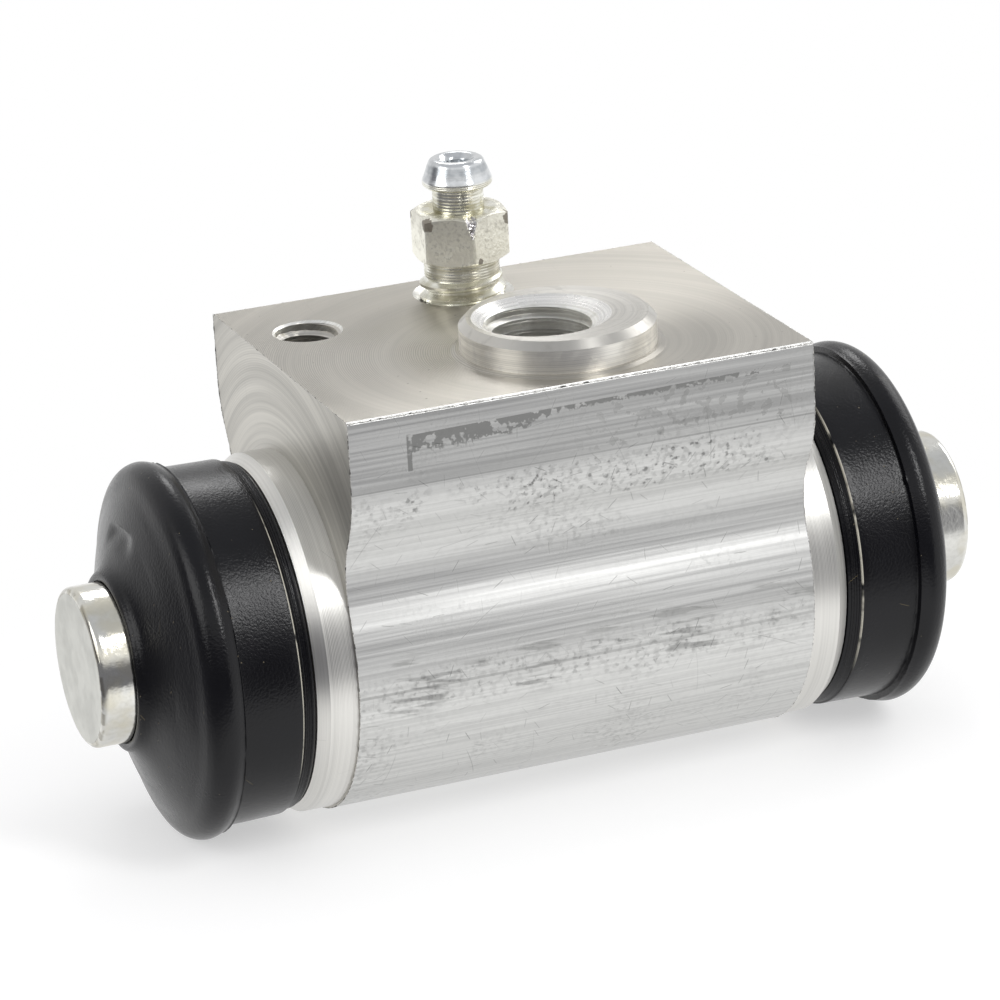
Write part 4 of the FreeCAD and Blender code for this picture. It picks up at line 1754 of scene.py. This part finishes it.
@dataclass(frozen=True)
class Studio:
    """Floor, lamps, world and camera."""

    floor_height: float = -41.8
    floor_radius: float = 100.0
    floor_colour: Colour = (0.56, 0.56, 0.56)
    floor_glow: float = 0.5
    # mirror_glow and open_glow make the floor's glow in mirrors, with a painted shadow under the part that
    # shadow_length and shadow_width shape.
    mirror_glow: float = 0.77
    open_glow: float = 0.42
    camera_stretch: float = 0.4
    fade_seen: Point = (66.0, 98.0)
    fade_mirrored: Point = (42.0, 85.0)
    shadow_length: float = 34.0
    shadow_width: float = 40.0
    overhead: Colour = (0.6, 0.61, 0.63)
    behind_part: Colour = (0.8, 0.8, 0.8)
    behind_camera: Colour = (0.2, 0.2, 0.215)
    soft_light: Colour = (0.7, 0.7, 0.71)
    target: tuple[float, float, float] = (-3.555, 7.2, -16.151)
    distance: float = 428.422
    azimuth: float = -20.859
    elevation: float = 19.768
    roll: float = -3.062
    lens: float = 170.484
    lamps: tuple[SoftBox, ...] = (
        SoftBox("box_front", (180.0, -367.0, 350.0), (110.0, 260.0), 0.95),
        SoftBox("box_left", (-480.0, -60.0, 210.0), (320.0, 320.0), 0.6),
        SoftBox("box_right", (430.0, 180.0, 300.0), (300.0, 300.0), 0.5),
        SoftBox("box_back", (106.0, 409.0, 350.0), (150.0, 150.0), 0.34),
    )

    def build(self) -> None:
        """Makes the whole set."""
        bpy.context.scene.view_settings.view_transform = "Standard"
        self.camera()
        self.floor()
        self.world()
        for lamp in self.lamps:
            lamp.build()

    def camera(self) -> None:
        """The camera at the photograph's angle."""
        a, e, roll = (math.radians(v) for v in (self.azimuth, self.elevation, self.roll))
        back = Vector((math.sin(a) * math.cos(e), -math.cos(a) * math.cos(e), math.sin(e)))
        right = Vector((math.cos(a), math.sin(a), 0.0))
        up = back.cross(right)
        across = right * math.cos(roll) + up * math.sin(roll)
        upward = up * math.cos(roll) - right * math.sin(roll)
        place = (Vector(self.target) + back * self.distance) * MM
        data = bpy.data.cameras.new("camera")
        data.lens = self.lens
        data.sensor_width = 36.0
        data.clip_start = 0.01
        made = bpy.data.objects.new("camera", data)
        columns = Matrix((across, upward, back)).transposed().to_4x4()
        made.matrix_world = Matrix.Translation(place) @ columns
        bpy.context.scene.collection.objects.link(made)
        bpy.context.scene.camera = made

    def floor(self) -> None:
        """A pale round floor that fades into the background."""
        bm = bmesh.new()
        bmesh.ops.create_circle(bm, cap_ends=True, segments=96, radius=self.floor_radius)
        for vertex in bm.verts:
            vertex.co.z = self.floor_height
        made = make_object("floor", bm, [])
        made.data.materials.append(self.floor_material())

    def floor_material(self) -> bpy.types.Material:
        """The floor's look: lit and shaded for the camera; for mirrors, a glow with a painted shadow under
        the part.

        Returns:
            The material, which fades out away from the part.
        """
        material = bpy.data.materials.new("pale_floor")
        material.use_nodes = True
        material.node_tree.nodes.clear()
        nodes = Nodes(material.node_tree)
        x, y, _ = nodes.split(nodes.place_mm())
        seen, mirrored = nodes.rays()
        y = y * (seen * self.camera_stretch + 1.0)
        away = (x * x + y * y).apply("SQRT")
        pale = nodes.add("ShaderNodeBsdfDiffuse", {"Color": opaque(self.floor_colour)})
        lit = nodes.add("ShaderNodeEmission", {"Color": opaque(WHITE), "Strength": seen * self.floor_glow})
        brightened = nodes.add("ShaderNodeAddShader")
        nodes.tree.links.new(pale.outputs[0], brightened.inputs[0])
        nodes.tree.links.new(lit.outputs[0], brightened.inputs[1])
        clear = nodes.add("ShaderNodeBsdfTransparent")
        reach = nodes.mix(mirrored, (*self.fade_seen, 0.0), (*self.fade_mirrored, 0.0))
        near, far, _ = nodes.split(reach)
        fade = ((away - near) / (far - near)).smooth(0.0, 1.0)
        # Painted shadow in the mirrored floor's glow: dimmer under the part, brighter away from it.
        aside = (x - MIDDLE_X).apply("ABSOLUTE") - self.shadow_length
        outside_painted_shadow = (y - BORE_Y).apply("ABSOLUTE").apply("MAXIMUM", aside).smooth(0.0, self.shadow_width)
        strength = outside_painted_shadow * self.open_glow + self.mirror_glow
        glow = nodes.add("ShaderNodeEmission", {"Color": opaque(WHITE), "Strength": strength})
        surface = nodes.add("ShaderNodeMixShader", {0: mirrored})
        nodes.tree.links.new(brightened.outputs[0], surface.inputs[1])
        nodes.tree.links.new(glow.outputs[0], surface.inputs[2])
        blend = nodes.add("ShaderNodeMixShader", {0: fade})
        output = nodes.add("ShaderNodeOutputMaterial")
        nodes.tree.links.new(surface.outputs[0], blend.inputs[1])
        nodes.tree.links.new(clear.outputs[0], blend.inputs[2])
        nodes.tree.links.new(blend.outputs[0], output.inputs["Surface"])
        return material

    def world(self) -> None:
        """White for the camera; a pale studio, dark behind the camera, for everything that it lights."""
        world = bpy.data.worlds.new("studio")
        bpy.context.scene.world = world
        world.use_nodes = True
        world.node_tree.nodes.clear()
        nodes = Nodes(world.node_tree)
        facing = nodes.output(nodes.add("ShaderNodeTexCoord"), "Generated")
        across, deep, up = nodes.split(facing)
        studio = nodes.mix(up.smooth(0.45, 0.85), WHITE, self.overhead)
        room = (across * -0.75 + deep * -0.66).smooth(0.0, 0.4) * up.smooth(0.5, 0.2)
        rear = deep.smooth(0.1, 0.6) * up.smooth(-0.1, 0.1)
        studio = nodes.mix(rear, studio, self.behind_part)
        studio = nodes.mix(room, studio, self.behind_camera)
        seen, mirrored = nodes.rays()
        soft = nodes.mix(mirrored, self.soft_light, studio)
        colour = nodes.mix(seen, soft, WHITE)
        back = nodes.add("ShaderNodeBackground", {"Color": colour, "Strength": 1.0})
        output = nodes.add("ShaderNodeOutputWorld")
        nodes.tree.links.new(back.outputs[0], output.inputs["Surface"])
        if hasattr(world, "cycles"):
            world.cycles.sampling_method = "NONE"


def main() -> None:
    """Builds the set and every piece of the wheel cylinder."""
    logging.basicConfig(level=logging.INFO, format="%(name)s: %(message)s")
    Studio().build()
    ExtrudedBody().build()
    DustBoot(Side.LEFT, dent_angle=math.radians(97.0), dent_depth=0.42, seed=1.0).build()
    DustBoot(Side.RIGHT, seed=4.0).build()
    BleedScrew().build()
    ReturnSpring().build()
    InnerParts().build()


if __name__ == "__main__":
    main()
